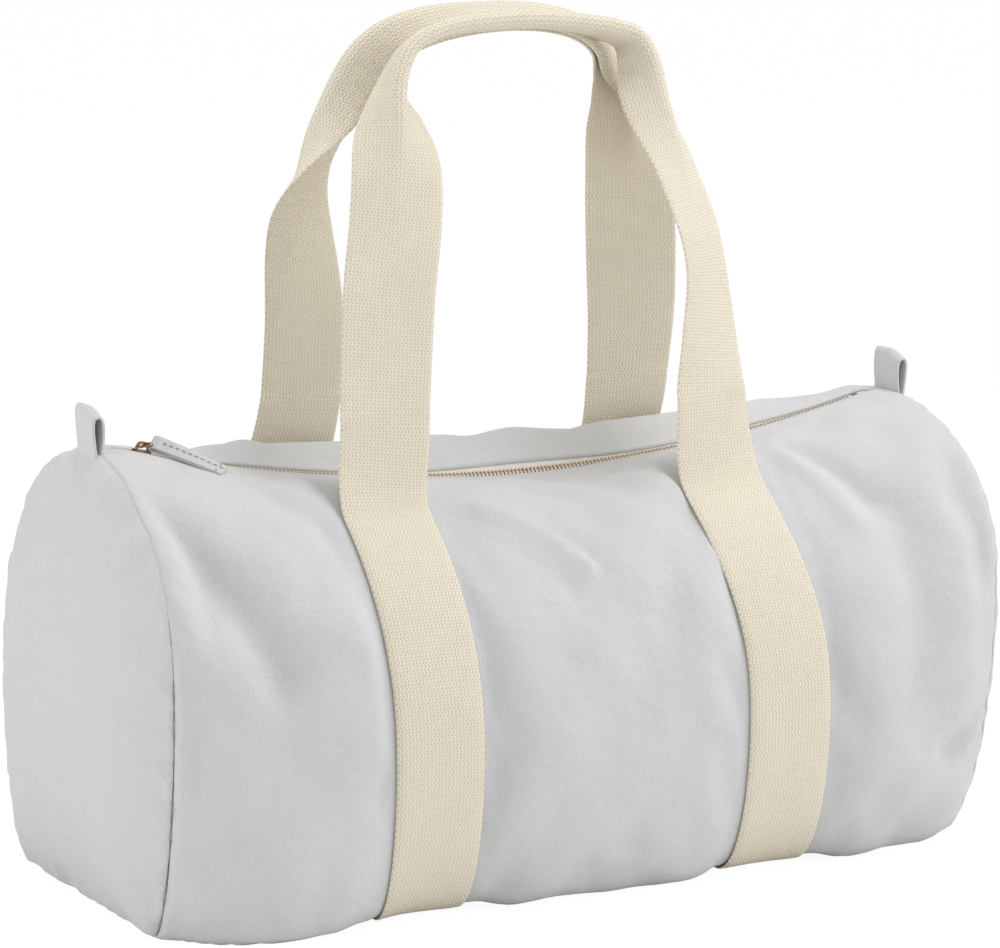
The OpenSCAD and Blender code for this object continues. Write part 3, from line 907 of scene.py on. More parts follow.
def webbing_solid(name, mid, normals, u, v):
    """A closed strip of webbing about a middle surface, with rounded and scalloped selvedges."""
    edge_share = np.abs(u) / (WEB_W / 2)
    half_t = WEB_T / 2 * (1 - 0.45 * edge_share**10)
    top = mid + normals * half_t[None, :, None]
    low = mid - normals * half_t[None, :, None]
    scallop = SCALLOP * np.where(np.arange(len(mid)) % 2, 1, -1)[:, None]
    last = mid[:, -1:] + unit(mid[:, -1:] - mid[:, -2:-1]) * (half_t[-1] + scallop)[:, :, None]
    first = mid[:, :1] + unit(mid[:, :1] - mid[:, 1:2]) * (half_t[-1] + scallop)[:, :, None]
    rings = np.concatenate([top, last, low[:, ::-1], first], 1)
    ring_u = np.concatenate([u, [u[-1]], u[::-1], [u[0]]])
    return sharpen(tube_between(name, rings, WEBBING, spread(ring_u[None], v[:, None])), WEBBING_CREASE)


BAND_COLS = 13
BAND_TOP_Y = 0.070
BAND_LIFT = SEAT_GAP + WEB_T / 2
BAND_MEASURE_POINTS = 400


def band_mid_line(x, count):
    """The band's middle line round the bag, from its front end to its back end, and its length so far."""
    ring = whole_section(x, BAND_TOP_Y)
    run = unit(np.gradient(ring, axis=0))
    return spaced(ring + BAND_LIFT * np.stack([run[:, 1], -run[:, 0]], 1), count)


BAND_DRIFT_RUN = 0.110
BAND_DRIFT = {-1: (-0.002, 0.002), 1: (-0.009, 0.0)}


def band_strand(x, drift, rows):
    """One strand of the band, which drifts sideways toward its front and its back end."""
    plain, run = band_mid_line(x, rows)
    strand = at_x(x, plain)
    for from_end, gap in zip((run, run[-1] - run), drift):
        drifted = at_x(x + gap, band_mid_line(x + gap, rows)[0])
        share = 1 - smooth(from_end / BAND_DRIFT_RUN)
        strand = mix(strand, drifted, share[:, None])
    return strand


# The first and last row of each band, where the handles go on from it: by its X side, then its Y side
BAND_ENDS = {}


def band(side, name):
    length = band_mid_line(side * BAND_X, BAND_MEASURE_POINTS)[1][-1]
    rows = int(length / WEB_STEP)
    u = np.linspace(-WEB_W / 2, WEB_W / 2, BAND_COLS)
    mid = np.stack([band_strand(side * BAND_X + c, BAND_DRIFT[side], rows) for c in u], 1)
    normals = grid_normals(mid)
    v = -np.linspace(0, length, rows)
    BAND_ENDS[side] = {-1: mid[0], 1: mid[-1]}
    return webbing_solid(name, mid, normals, u, v)


for side, label in ((-1, "left"), (1, "right")):
    fitted(band(side, f"{label}_band_webbing"), f"{label}_band", "bag")


# Handles. Each is one strip along a line in its own leaning plane: X and the rise from the hinge line in
# millimetres, the turn of its face away from the middle of the bag and the fold of its two halves in degrees.

FOLD_R = 0.0034
FOLD_POINTS = 120
HANDLE_COLS = 25
FRONT_LEAN = math.radians(9.9)
BACK_LEAN = math.radians(11.2)
FRONT_LINE = (
    (-109, 0, 0, 0), (-101, 62, 6, 0), (-95, 106, 9, 0), (-88, 140, 10, 3), (-83, 172, 9, 12),
    (-80, 197, 8, 45),
    (-78.5, 214, 6, 78), (-74, 228, 5, 93), (-65, 239, 5, 97), (-45, 246.5, 6, 98), (-18, 249.5, 8, 98),
    (12, 250, 8, 98), (38, 247.5, 8, 98), (57, 244.5, 9, 97), (72, 239, 12, 92), (80, 225, 20, 75),
    (84, 203, 27, 45), (89.5, 178, 33, 20), (94, 150, 35, 5), (99, 125, 35, 0), (101, 100, 33, 0),
    (99, 65, 22, 0), (97, 35, 8, 0), (98, 0, 0, 0),
)
BACK_LINE = (
    (-105, 0, 0, 0), (-101, 45, 4, 0), (-103, 84, 8, 0), (-109, 122, 18, 0), (-113, 147, 28, 5),
    (-113, 168, 42, 20), (-109.5, 188, 55, 45), (-103, 206, 65, 75), (-95.5, 223, 70, 92), (-85, 238, 66, 96),
    (-68, 249.5, 52, 97), (-44, 255, 34, 98), (-12, 256.5, 22, 98), (20, 255, 20, 98), (45, 250, 26, 98),
    (64, 241, 40, 96), (76, 226, 52, 90), (83, 209, 48, 70), (89, 188, 42, 40), (94, 163, 34, 15),
    (97, 138, 30, 3), (101, 108, 26, 0), (105, 75, 15, 0), (107, 40, 5, 0), (107, 0, 0, 0),
)


FLOW_POINTS = 60


def flowing(knots, step):
    """A smooth line through the knots, as rows a step apart. The first three columns are its place."""
    knots = np.array(knots, float)
    ends = np.concatenate([[2 * knots[0] - knots[1]], knots, [2 * knots[-1] - knots[-2]]])
    fine = []
    shares = np.linspace(0, 1, FLOW_POINTS, endpoint=False)[:, None]
    for a, b, c, d in zip(ends, ends[1:], ends[2:], ends[3:]):
        fine.append(through(a, b, c, d, shares))
    fine = np.concatenate(fine + [knots[-1:]])
    run = run_along(fine[:, :3])
    return evened(fine, run, int(run[-1] / step))


def leaning(side, lean, x, rise):
    """A point of a handle's leaning plane, rise above the hinge line."""
    y = side * (HINGE_Y - rise * math.sin(lean))
    return np.stack([x, y, HINGE_Z + rise * math.cos(lean)], -1)


# Below FOOT_RISE a handle leaves its plane and lies down onto the cloth, and over FOOT_FADE it takes the
# band's place and width
FOOT_RISE = 0.045
FOOT_FADE = 0.045
FOOT_TENSION = 0.95
FOOT_STEPS = 30
FOOT_STRIDE = 4
FOOT_BAND_POINTS = 900


def foot_line(side, x, lean):
    """From the end of the band up to the leaning plane: tangent to the cloth below, to the plane above."""
    line = band_mid_line(x, FOOT_BAND_POINTS)[0]
    line = line if side < 0 else line[::-1]
    start, start_run = line[0], unit(line[0] - line[1])
    end = leaning(side, lean, np.array(x), FOOT_RISE)[1:]
    end_run = np.array([-side * math.sin(lean), math.cos(lean)])
    reach = np.linalg.norm(end - start) * FOOT_TENSION
    t = np.linspace(0, 1, FOOT_STEPS)[:, None]
    place = (2 * t**3 - 3 * t**2 + 1) * start + (-2 * t**3 + 3 * t**2) * end
    return place + reach * ((t**3 - 2 * t**2 + t) * start_run + (t**3 - t**2) * end_run)


def foot(side, lean, knots):
    """The rows of the foot under a handle's first knots, from the band up: place, turn and fold."""
    x = knots[0, 0]
    lift = smooth(np.linspace(0, 1, FOOT_STEPS))
    top_x, top_turn = (np.interp(FOOT_RISE, knots[:3, 1], knots[:3, k]) for k in (0, 2))
    line = foot_line(side, x, lean)
    return np.column_stack([mix(x, top_x, lift), line, lift * top_turn, np.zeros(FOOT_STEPS)])[::FOOT_STRIDE]


def fold_section(fold, u):
    """Where each strand of the webbing lies when its halves are folded back by an angle."""
    half = np.linspace(0, WEB_W / 2, FOLD_POINTS)
    bend_run = max(FOLD_R * fold, 1e-6)
    angle = fold * np.clip(half / bend_run, 0, 1) if fold > 1e-3 else np.zeros_like(half)
    step = half[1] - half[0]
    out = np.concatenate([[0], np.cumsum(np.cos(angle[:-1]) * step)])
    back = -np.concatenate([[0], np.cumsum(np.sin(angle[:-1]) * step)])
    reach = np.abs(u)
    return np.sign(u) * np.interp(reach, half, out), np.interp(reach, half, back)


def handle(side, lean, knots, name):
    knots = np.array(knots, float) * [MM, MM, math.radians(1), math.radians(1)]
    above = knots[knots[:, 1] > FOOT_RISE]
    plane = leaning(side, lean, above[:, 0], above[:, 1])
    left, right = foot(side, lean, knots), foot(side, lean, knots[::-1])[::-1]
    line, run = flowing(np.concatenate([left, np.column_stack([plane, above[:, 2:]]), right]), WEB_STEP)
    place, turn, fold = line[:, :3], np.clip(line[:, 3], 0, None), np.clip(line[:, 4], 0, None)
    tangent = unit(np.gradient(place, axis=0))
    plane_normal = np.array([0, side * math.cos(lean), math.sin(lean)])
    level = unit(np.cross(np.broadcast_to(plane_normal, tangent.shape), tangent))
    outward_face = unit(np.cross(tangent, level))
    outward_face *= np.sign(np.sum(outward_face * plane_normal, 1, keepdims=True))
    away = level if side < 0 else -level
    face = outward_face * np.cos(turn)[:, None] + away * np.sin(turn)[:, None]
    wide = unit(np.cross(face, tangent))
    u = np.linspace(-WEB_W / 2, WEB_W / 2, HANDLE_COLS)
    mid = np.zeros((len(place), len(u), 3))
    for i in range(len(place)):
        out, back = fold_section(fold[i], u)
        mid[i] = place[i] + out[:, None] * wide[i] + back[:, None] * face[i]
    band_shares, shares = np.linspace(0, 1, BAND_COLS), np.linspace(0, 1, HANDLE_COLS)
    for foot_run, first, ends in ((run, 0, BAND_ENDS[-1]), (run[-1] - run, -1, BAND_ENDS[1])):
        band_row = ends[side] if mid[first, 0, 0] < mid[first, -1, 0] else ends[side][::-1]
        met = np.stack([np.interp(shares, band_shares, band_row[:, k]) for k in range(3)], 1)
        mid = mid + (met - mid[first]) * (1 - smooth(foot_run / FOOT_FADE))[:, None, None]
    normals = grid_normals(mid)
    normals *= np.sign(np.sum(normals[:, len(u) // 2] * face, 1))[:, None, None]
    return webbing_solid(name, mid, normals, u, run)


# Two rises above the hinge line. Each handle's plane is found at both of them, and nothing uses those points.
BEND_FROM = 0.002
BEND_TO = 0.020

for side, lean, knots, label in ((-1, FRONT_LEAN, FRONT_LINE, "front"), (1, BACK_LEAN, BACK_LINE, "back")):
    piece = handle(side, lean, knots, f"{label}_handle_webbing")
    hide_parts(f"{label}_handle")
    held, free = (leaning(side, lean, np.array(0.0), rise) for rise in (BEND_FROM, BEND_TO))
    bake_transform(piece)


# Zip


def on_zip(x):
    """The frame that rides the zip's arc at x: its Z points to the arc's centre."""
    turn = Matrix.Rotation(-math.asin(x / ZIP_RADIUS), 4, "Y")
    return Matrix.Translation((0, 0, ZIP_CENTRE_Z)) @ turn @ Matrix.Translation((0, 0, -ZIP_RADIUS))


def placed(points, matrix):
    """Points moved by a 4 by 4 matrix."""
    matrix = np.array(matrix)
    return np.asarray(points) @ matrix[:3, :3].T + matrix[:3, 3]


TAPE_BEAD = 0.0006
TAPE_TAIL = 0.007
CHAIN_FROM = -HALF_ZIP + CHAIN_INSET
CHAIN_TO = HALF_ZIP - CHAIN_INSET


def tape_mid(x, y, side):
    """The tape's height over the chain: level at the teeth, then under the cloth's edge."""
    w = half_width(x, side)
    crest = BELLY_Z + (crest_z(x, side) - BELLY_Z) * math.sqrt(1 - (y / w) ** 2)
    valley = valley_share(y, side)
    return float(tape_lift(x, y, side) * valley + (1 - valley) * (crest - CANVAS_OVER - line_z(x)))


def zip_tape(side, name):
    """Woven tape with a cord in the edge that the teeth grip. The two tapes meet past the chain."""
    steps = np.concatenate([[0, 0.4, 1.6, 2.2], np.linspace(4, TAPE_W / TAPE_BEAD, 9)]) * TAPE_BEAD
    half = np.array([0.5 * TAPE_BEAD, TAPE_BEAD, TAPE_BEAD] + [TAPE_T / 2] * 10)
    stations = np.linspace(-HALF_ZIP - TAPE_TAIL, HALF_ZIP + TAPE_TAIL, 166)
    rings = []
    for x in stations:
        past_chain = smooth((abs(x) - CHAIN_TO) / (HALF_ZIP - CHAIN_TO))
        across = TAPE_INNER_Y * (1 - past_chain) + steps
        height = np.array([tape_mid(x, y, side) for y in across])
        y = np.concatenate([across, across[::-1]])
        z = np.concatenate([height - half, (height + half)[::-1]])
        end = math.copysign(min(abs(x), HALF_ZIP), x)
        frame = Matrix.Translation((x - end, 0, 0)) @ on_zip(end)
        rings.append(placed(np.column_stack([np.zeros(len(y)), side * y, z]), frame))
    uv = spread(stations[:, None], np.concatenate([steps, steps[::-1]])[None])
    return tube_between(name, rings, TAPE, uv)


for side, label in ((-1, "front"), (1, "back")):
    fitted(zip_tape(side, f"{label}_zip_tape"), f"zip_tape_{label}", "bag")


# A tooth from its root in the tape to its head past the middle of the chain, in millimetres
TOOTH_OUTLINE = (
    (0.50, -0.36), (0.9, -0.25), (1.3, -0.33), (2.3, -0.42), (2.3, 0.42), (1.3, 0.33),
    (0.9, 0.25), (0.50, 0.36), (-0.7, 0.36), (-1.1, 0.18), (-1.1, -0.18), (-0.7, -0.36),
)
TOOTH_HALF_W = 0.0009
TOOTH_CHAMFER = 0.00022
TOOTH_SEEN_T = 0.0018
TOOTH_JITTER = 0.03
TOOTH_START = 0.0005


def tooth_shape(side, material):
    """One tooth: a rounded head, a waist and a root that grips the tape. X runs along the zip."""
    outline = np.array(TOOTH_OUTLINE) * MM
    outline = np.column_stack([outline[:, 1], side * outline[:, 0]])
    middle = outline.mean(0)
    small = middle + (outline - middle) * (1 - TOOTH_CHAMFER / TOOTH_HALF_W)
    half = TOOTH_SEEN_T / 2
    edge = half - TOOTH_CHAMFER
    levels = ((small, -half), (outline, -edge), (outline, edge), (small, half))
    rings = [np.column_stack([ring, np.full(len(ring), z)]) for ring, z in levels]
    return tube_between(f"tooth_shape_{side}", rings, material)


ROW_SOCKETS = {"line": "Geometry", "shape": "Object", "pitch": "Float", "jitter": "Float", "seed": "Int",
               "material": "Material"}


def row_tree(name):
    """Sets copies of a shape along a line at one pitch, each turned a little at random."""
    tree = bpy.data.node_groups.new(name, "GeometryNodeTree")
    ids = {}
    for key, kind in ROW_SOCKETS.items():
        socket = tree.interface.new_socket(name=key.title(), in_out="INPUT", socket_type=f"NodeSocket{kind}")
        ids[key] = socket.identifier
    tree.interface.new_socket(name="Row", in_out="OUTPUT", socket_type="NodeSocketGeometry")
    add = tree.nodes.new
    given, result = add("NodeGroupInput"), add("NodeGroupOutput")
    curve, points = add("GeometryNodeMeshToCurve"), add("GeometryNodeResampleCurve")
    points.mode = "LENGTH"
    tangent, turn = add("GeometryNodeInputTangent"), add("FunctionNodeAxesToRotation")
    turn.primary_axis, turn.secondary_axis = "X", "Z"
    up = add("GeometryNodeInputNamedAttribute")
    up.data_type = "FLOAT_VECTOR"
    up.inputs["Name"].default_value = "up"
    shake, spin = add("FunctionNodeRandomValue"), add("FunctionNodeEulerToRotation")
    shake.data_type = "FLOAT_VECTOR"
    least = add("ShaderNodeMath")
    least.operation = "MULTIPLY"
    least.inputs[1].default_value = -1.0
    mixed = add("FunctionNodeRotateRotation")
    mixed.rotation_space = "LOCAL"
    info, copies = add("GeometryNodeObjectInfo"), add("GeometryNodeInstanceOnPoints")
    real, paint = add("GeometryNodeRealizeInstances"), add("GeometryNodeSetMaterial")
    for source, output, target, name in (
            (given, "Line", curve, "Mesh"), (curve, "Curve", points, "Curve"),
            (given, "Pitch", points, "Length"), (points, "Curve", copies, "Points"),
            (tangent, "Tangent", turn, "Primary Axis"),
            (up, "Attribute", turn, "Secondary Axis"), (given, "Jitter", least, 0), (least, 0, shake, "Min"),
            (given, "Jitter", shake, "Max"), (given, "Seed", shake, "Seed"), (shake, "Value", spin, "Euler"),
            (turn, "Rotation", mixed, "Rotation"), (spin, "Rotation", mixed, "Rotate By"),
            (mixed, "Rotation", copies, "Rotation"), (given, "Shape", info, "Object"),
            (info, "Geometry", copies, "Instance"), (copies, "Instances", real, "Geometry"),
            (real, "Geometry", paint, "Geometry"), (given, "Material", paint, "Material"),
            (paint, "Geometry", result, "Row")):
        tree.links.new(source.outputs[output], target.inputs[name])
    return tree, ids


ROW_TREE, ROW_INPUTS = row_tree("row_along_line")


def row_along(name, line, ups, shape, pitch, jitter, seed, material):
    """The row as one plain mesh object. Each copy's Z points along the nearest of the ups."""
    mesh = bpy.data.meshes.new(name + "_line")
    mesh.from_pydata([tuple(p) for p in line], [(i, i + 1) for i in range(len(line) - 1)], [])
    mesh.attributes.new("up", "FLOAT_VECTOR", "POINT").data.foreach_set("vector", np.ravel(ups))
    carrier = in_scene(name + "_line", mesh)
    rows = carrier.modifiers.new("row", "NODES")
    rows.node_group = ROW_TREE
    values = {"shape": shape, "pitch": pitch, "jitter": jitter, "seed": seed, "material": material}
    for key, value in values.items():
        rows[ROW_INPUTS[key]] = value
    view = bpy.context.evaluated_depsgraph_get()
    made = bpy.data.meshes.new_from_object(carrier.evaluated_get(view))
    made.name = name
    drop(carrier)
    return in_scene(name, made)


def tipped(x):
    """The zip's frame at x, tipped toward the front as the chain is there."""
    return on_zip(x) @ Matrix.Rotation(math.atan(chain_slope(x)), 4, "X")


def chain_line(x_from, x_to, step=0.0012):
    """Points along the chain, and the way that its top faces at each of them."""
    frames = [np.array(tipped(x)) for x in np.linspace(x_from, x_to, int((x_to - x_from) / step))]
    return [f[:3, 3] for f in frames], [f[:3, 2] for f in frames]


# The front teeth take the brass with painted shade, and the back teeth the brass with a painted highlight.
for side, label, metal in ((-1, "front", SHADED_TEETH), (1, "back", LIT_TEETH)):
    shape = tooth_shape(side, metal)
    offset = TOOTH_PITCH / 2 if side > 0 else 0
    line, ups = chain_line(CHAIN_FROM + offset + TOOTH_START, CHAIN_TO - TOOTH_PITCH + offset)
    piece = row_along(f"{label}_teeth_row", line, ups, shape, TOOTH_PITCH, TOOTH_JITTER, 5 + side, metal)
    drop(shape)
    fitted(piece, f"zip_teeth_{label}", "bag")


METAL_EDGE = 50
STOP_LEN = 0.003
STOP_GAP = 0.0015
STOP_EDGE = 0.0003
STOP_CORNER = 0.0006


def block(name, outline, levels, material):
    """A plate: an outline, drawn in toward its middle by a share at each of its levels."""
    outline = np.array(outline, float)
    middle = outline.mean(0)
    rings = [np.column_stack([middle + (outline - middle) * share, np.full(len(outline), z)])
             for z, share in levels]
    return tube_between(name, rings, material)


def joined(name, pieces):
    """One object from several, which keeps the first one's materials."""
    points, faces, start = [], [], 0
    for piece in pieces:
        points += [piece.matrix_world @ v.co for v in piece.data.vertices]
        faces += [tuple(start + i for i in f.vertices) for f in piece.data.polygons]
        start = len(points)
    made = mesh_object(name, points, faces, None, pieces[0].data.materials[0])
    for piece in pieces:
        drop(piece)
    return made


def moved(piece, matrix):
    piece.data.transform(matrix)
    return piece


def rounded_box(half_x, half_y, corner, steps=4):
    """The outline of a rectangle with round corners."""
    turns = np.linspace(0, math.pi / 2, steps)
    points = []
    for quarter, (sx, sy) in enumerate(((1, 1), (-1, 1), (-1, -1), (1, -1))):
        for t in turns + quarter * math.pi / 2:
            points.append((sx * (half_x - corner) + corner * math.cos(t),
                           sy * (half_y - corner) + corner * math.sin(t)))
    return points


def stop(name, x, y_near):
    """A stop folded over both faces of the tape."""
    outline = rounded_box(STOP_LEN / 2, (TOOTH_ROOT - y_near) / 2, STOP_CORNER)
    face = TOOTH_T / 2
    side = face - STOP_EDGE
    levels = ((-face, 0.8), (-side, 1), (side, 1), (face, 0.8))
    made = block(name, outline, levels, BRASS)
    return moved(made, on_zip(x) @ Matrix.Translation((0, (TOOTH_ROOT + y_near) / 2, 0)))


def top_stops():
    x = CHAIN_FROM - STOP_GAP - STOP_LEN / 2
    back = stop("top_stop_back", x, SEAM_GAP)
    front = stop("top_stop_front", x, SEAM_GAP)
    front.data.transform(Matrix.Scale(-1, 4, (0, 1, 0)))
    front.data.flip_normals()
    return joined("top_stops", [back, front])


def bottom_stop():
    x = CHAIN_TO + STOP_GAP + STOP_LEN / 2
    return stop("bottom_stop", x, -TOOTH_ROOT)


for piece, node in ((top_stops(), "zip_top_stops"), (bottom_stop(), "zip_bottom_stop")):
    fitted(sharpen(piece, METAL_EDGE), node, "bag")


# Slider and puller

SLIDER_LEN = 0.0095
SLIDER_X = CHAIN_FROM + SLIDER_LEN / 2
PLATE_LOW = TOOTH_T / 2 + 0.0003
PLATE_T = 0.0012
PLATE_EDGE = 0.0003
PLATE_ROUND = 0.0004
RAIL_DROP = 0.0006
RAIL_HALF_W = 0.0004
RAIL_SEAT = 0.0004
BRIDGE_OPEN = 0.0044
BRIDGE_HALF_W = 0.0013
BRIDGE_HALF_T = 0.0007
BRIDGE_STEP = 0.0004
LINK_R = 0.0006
LINK_CORNER = 0.0013
LINK_HANG = 0.0015
PIVOT_Z = PLATE_LOW + PLATE_T + BRIDGE_OPEN - LINK_R - LINK_HANG
PULL_TURN = math.radians(45)
PULL_ROLL = math.radians(12)
LINK_LIFT = math.radians(20)
LINK_HALF_W = 0.0088 / 2 + LINK_R
LINK_REACH = 0.0056 + 2 * LINK_R
ON_SLIDER = on_zip(SLIDER_X)
ON_PIVOT = (ON_SLIDER @ Matrix.Translation((0, 0, PIVOT_Z)) @ Matrix.Rotation(-PULL_TURN, 4, "Z")
            @ Matrix.Rotation(PULL_ROLL, 4, "X"))


# The plate and the middle of one rail seen from above, and the bridge seen from the side, in millimetres
PLATE_OUTLINE = (
    (-4.75, -2.6), (-4.2, -3.9), (-2.8, -4.3), (-0.6, -4.1), (2.2, -3.7), (4.0, -3.4), (4.75, -2.5),
    (4.75, 2.5), (4.0, 3.4), (2.2, 3.7), (-0.6, 4.1), (-2.8, 4.3), (-4.2, 3.9), (-4.75, 2.6), (-3.6, 0),
)
RAIL_LINE = ((-4.0, 3.75), (-2.6, 4.0), (-0.6, 3.8), (2.2, 3.4), (4.0, 3.1))
BRIDGE_LINE = ((-3.4, 2.4), (-3.3, 3.4), (-2.9, 4.9), (-2.2, 6.0), (-1.2, 6.5), (0, 6.6),
               (1.2, 6.5), (2.2, 6.0), (2.9, 4.9), (3.3, 3.4), (3.4, 2.4))


def slider_body():
    """The upper plate, broad over the open end and narrow over the closed one, with a rail on each side."""
    top = PLATE_LOW + PLATE_T
    levels = ((PLATE_LOW, 0.95), (PLATE_LOW + PLATE_EDGE, 1), (top - PLATE_ROUND, 1),
              (top - PLATE_ROUND / 4, 0.95), (top, 0.88))
    plate = block("slider_plate", np.array(PLATE_OUTLINE) * MM, levels, BRASS)
    low, high = PLATE_LOW - RAIL_DROP, PLATE_LOW + RAIL_SEAT
    rails = []
    for side in (-1, 1):
        rings = []
        for x, y in np.array(RAIL_LINE) * [MM, side * MM]:
            near, far = y - RAIL_HALF_W, y + RAIL_HALF_W
            rings.append([(x, near, low), (x, far, low), (x, far, high), (x, near, high)])
        rails.append(tube_between(f"rail_{side}", rings, BRASS))
    return moved(joined("slider_plate_and_rails", [plate] + rails), ON_SLIDER)


def bar(name, path, half_wide, half_thick, wide_axis, material, closed=False, sides=12, power=0.6):
    """A rounded bar along a path, half_wide along wide_axis and half_thick across it."""
    path = np.asarray(path, float)
    run = np.roll(path, -1, 0) - np.roll(path, 1, 0) if closed else np.gradient(path, axis=0)
    run = unit(run)
    wide = np.broadcast_to(np.array(wide_axis, float), path.shape)
    wide = unit(wide - run * np.sum(run * wide, 1, keepdims=True))
    thick = np.cross(run, wide)
    turn = np.linspace(0, 2 * math.pi, sides, endpoint=False)
    a = np.sign(np.cos(turn)) * np.abs(np.cos(turn)) ** power * half_wide
    b = np.sign(np.sin(turn)) * np.abs(np.sin(turn)) ** power * half_thick
    rings = path[:, None] + wide[:, None] * a[None, :, None] + thick[:, None] * b[None, :, None]
    return tube_between(name, rings, material, closed=closed)


def slider_bridge():
    """The loop over the plate that the link hangs in."""
    path = flowing([(x * MM, 0, z * MM) for x, z in BRIDGE_LINE], BRIDGE_STEP)[0]
    return moved(bar("bridge_loop", path, BRIDGE_HALF_W, BRIDGE_HALF_T, (0, 1, 0), BRASS), ON_SLIDER)


def pull_link():
    """A rectangular wire ring through the bridge."""
    outline = rounded_box(LINK_REACH / 2, LINK_HALF_W, LINK_CORNER, 6)
    path = [(x + LINK_REACH / 2, y, 0) for x, y in outline]
    ring = bar("link_ring", path, LINK_R, LINK_R, (0, 0, 1), BRASS, closed=True, power=1.0)
    return moved(ring, ON_PIVOT @ Matrix.Rotation(-LINK_LIFT, 4, "Y"))


fitted(sharpen(slider_body(), METAL_EDGE), "slider_body", "slider")
fitted(sharpen(slider_bridge(), METAL_EDGE), "slider_bridge", "slider")
fitted(sharpen(pull_link(), METAL_EDGE), "pull_link", "link")


# The sewn pull tab

TAB_LEN = 0.041
TAB_W = 0.0086
LEAF_T = 0.0012
EYE_R = LINK_R + 0.00015 + LEAF_T
TAB_DROOP = 0.0065
TAB_TWIST = (math.radians(38), math.radians(14))
TAB_PLACE = (ON_PIVOT @ Matrix.Rotation(-LINK_LIFT, 4, "Y") @ Matrix.Translation((LINK_REACH, 0, 0))
             @ Matrix.Rotation(LINK_LIFT, 4, "Y"))


# The outer faces of the two leaves from the side, in millimetres: from the far end to the eye, and back
UPPER_LEAF = ((41, 1.0), (38.13, 1.05), (20.5, 1.2), (12, 1.3), (6, 1.5), (3, 1.9))
LOWER_LEAF = ((3, -1.9), (6, -1.5), (12, -1.3), (20.5, -1.25), (38.13, -1.5), (40.385, -1.65))
TAB_STEP = 0.0007
TAB_COLS = 15


def tab_point(along, across, height):
    """A point of the straight tab, once it droops and turns toward its far end."""
    share = np.clip(along / TAB_LEN, 0, 1)
    twist = mix(TAB_TWIST[0], TAB_TWIST[1], share)
    y = across * np.cos(twist) - height * np.sin(twist)
    z = across * np.sin(twist) + height * np.cos(twist) - TAB_DROOP * share**1.3
    return np.stack([along, y, z], -1)


def pull_tab():
    """Canvas folded round the link's bar: its two leaves lie together and part a little at the far end."""
    eye = [(EYE_R * math.cos(t), EYE_R * math.sin(t)) for t in np.radians(np.linspace(70, 290, 12))]
    knots = [(x * MM, z * MM) for x, z in UPPER_LEAF] + eye + [(x * MM, z * MM) for x, z in LOWER_LEAF]
    rows, run = flowing([(x, 0, z) for x, z in knots], TAB_STEP)
    u = np.linspace(-TAB_W / 2, TAB_W / 2, TAB_COLS)
    grid = np.stack([tab_point(rows[:, 0], np.full(len(rows), c), rows[:, 2]) for c in u], 1)
    uv = spread(u[None], run[:, None])
    piece = shell("folded_pull_tab", grid[:, ::-1], uv[:, ::-1], LEAF_T, CANVAS)
    return moved(piece, TAB_PLACE)


fitted(pull_tab(), "pull_tab", "tab")

STITCH_PITCH = 0.0034
STITCH_LEN = 0.0021
STITCH_R = 0.00026
STITCH_RISE = 1.4 * STITCH_R
STITCH_SINK = 0.5 * STITCH_R
STITCH_JITTER = 0.06


def stitch_shape():
    """One stitch, bowed up from the cloth between its two ends."""
    path = [(t * STITCH_LEN / 2, 0, STITCH_RISE * (1 - t * t) - STITCH_SINK) for t in np.linspace(-1, 1, 7)]
    return bar("stitch_shape", path, STITCH_R, STITCH_R, (0, 1, 0), THREAD, sides=6, power=1.0)


# The height of the upper leaf over the tab's middle, along the tab, in millimetres
LEAF_TOP = ((6, 1.5), (12, 1.3), (20.5, 1.2), (38, 1.05), (41, 1.0))

# Where each row of stitches starts and ends on the leaf: along the tab and across it
STITCH_LINES = (((0.006, 0.0006), (TAB_LEN - 0.002, 0.0006)),
                ((TAB_LEN - 0.0035, -0.0032), (TAB_LEN - 0.0035, 0.0034)))


def tab_stitches():
    """A row of stitches along the upper leaf and one across its end."""
    leaf_along, leaf_top = np.array(LEAF_TOP).T * MM
    rows = []
    for k, (start, finish) in enumerate(STITCH_LINES):
        steps = np.linspace(0, 1, 60)
        along, across = (mix(start[i], finish[i], steps) for i in (0, 1))
        low = np.interp(along, leaf_along, leaf_top) + STITCH_R
        line = placed(tab_point(along, across, low), TAB_PLACE)
        over = placed(tab_point(along, across, low + MM), TAB_PLACE)
        shape = stitch_shape()
        values = (shape, STITCH_PITCH, STITCH_JITTER, 31 + k, THREAD)
        rows.append(row_along(f"stitch_row_{k}", line, unit(over - line), *values))
        drop(shape)
    return joined("tab_stitches", rows)


stitches = tab_stitches()
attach(stitches, "tab")


# End tabs

END_TAB_W = 0.0255
END_TAB_SHIFT = -0.002
END_TAB_T = 0.0013
END_TAB_STEP = 0.0008
END_TAB_COLS = 25
END_TAB_CLOSING = 0.35
END_TAB_FRONT_DROP = 0.0045
END_TAB_SUNK = 0.001
END_FOOT_Z = zip_z(HALF_ZIP) + CANVAS_OVER

# The strip from the side, in millimetres: toward the bag and up, from the foot of its inner leaf over the
# top to the foot of its outer leaf
END_TAB_LINE = (
    (0.35, -2.0), (0.5, 0.5), (1.2, 5), (2.1, 10), (2.6, 15), (2.6, 19.5), (1.8, 22.6), (0.3, 23.5),
    (-1.1, 22.6), (-1.8, 19.5), (-1.7, 14), (-1.2, 8), (-0.7, 3), (-0.5, 0.5), (-0.3, -2.0),
)


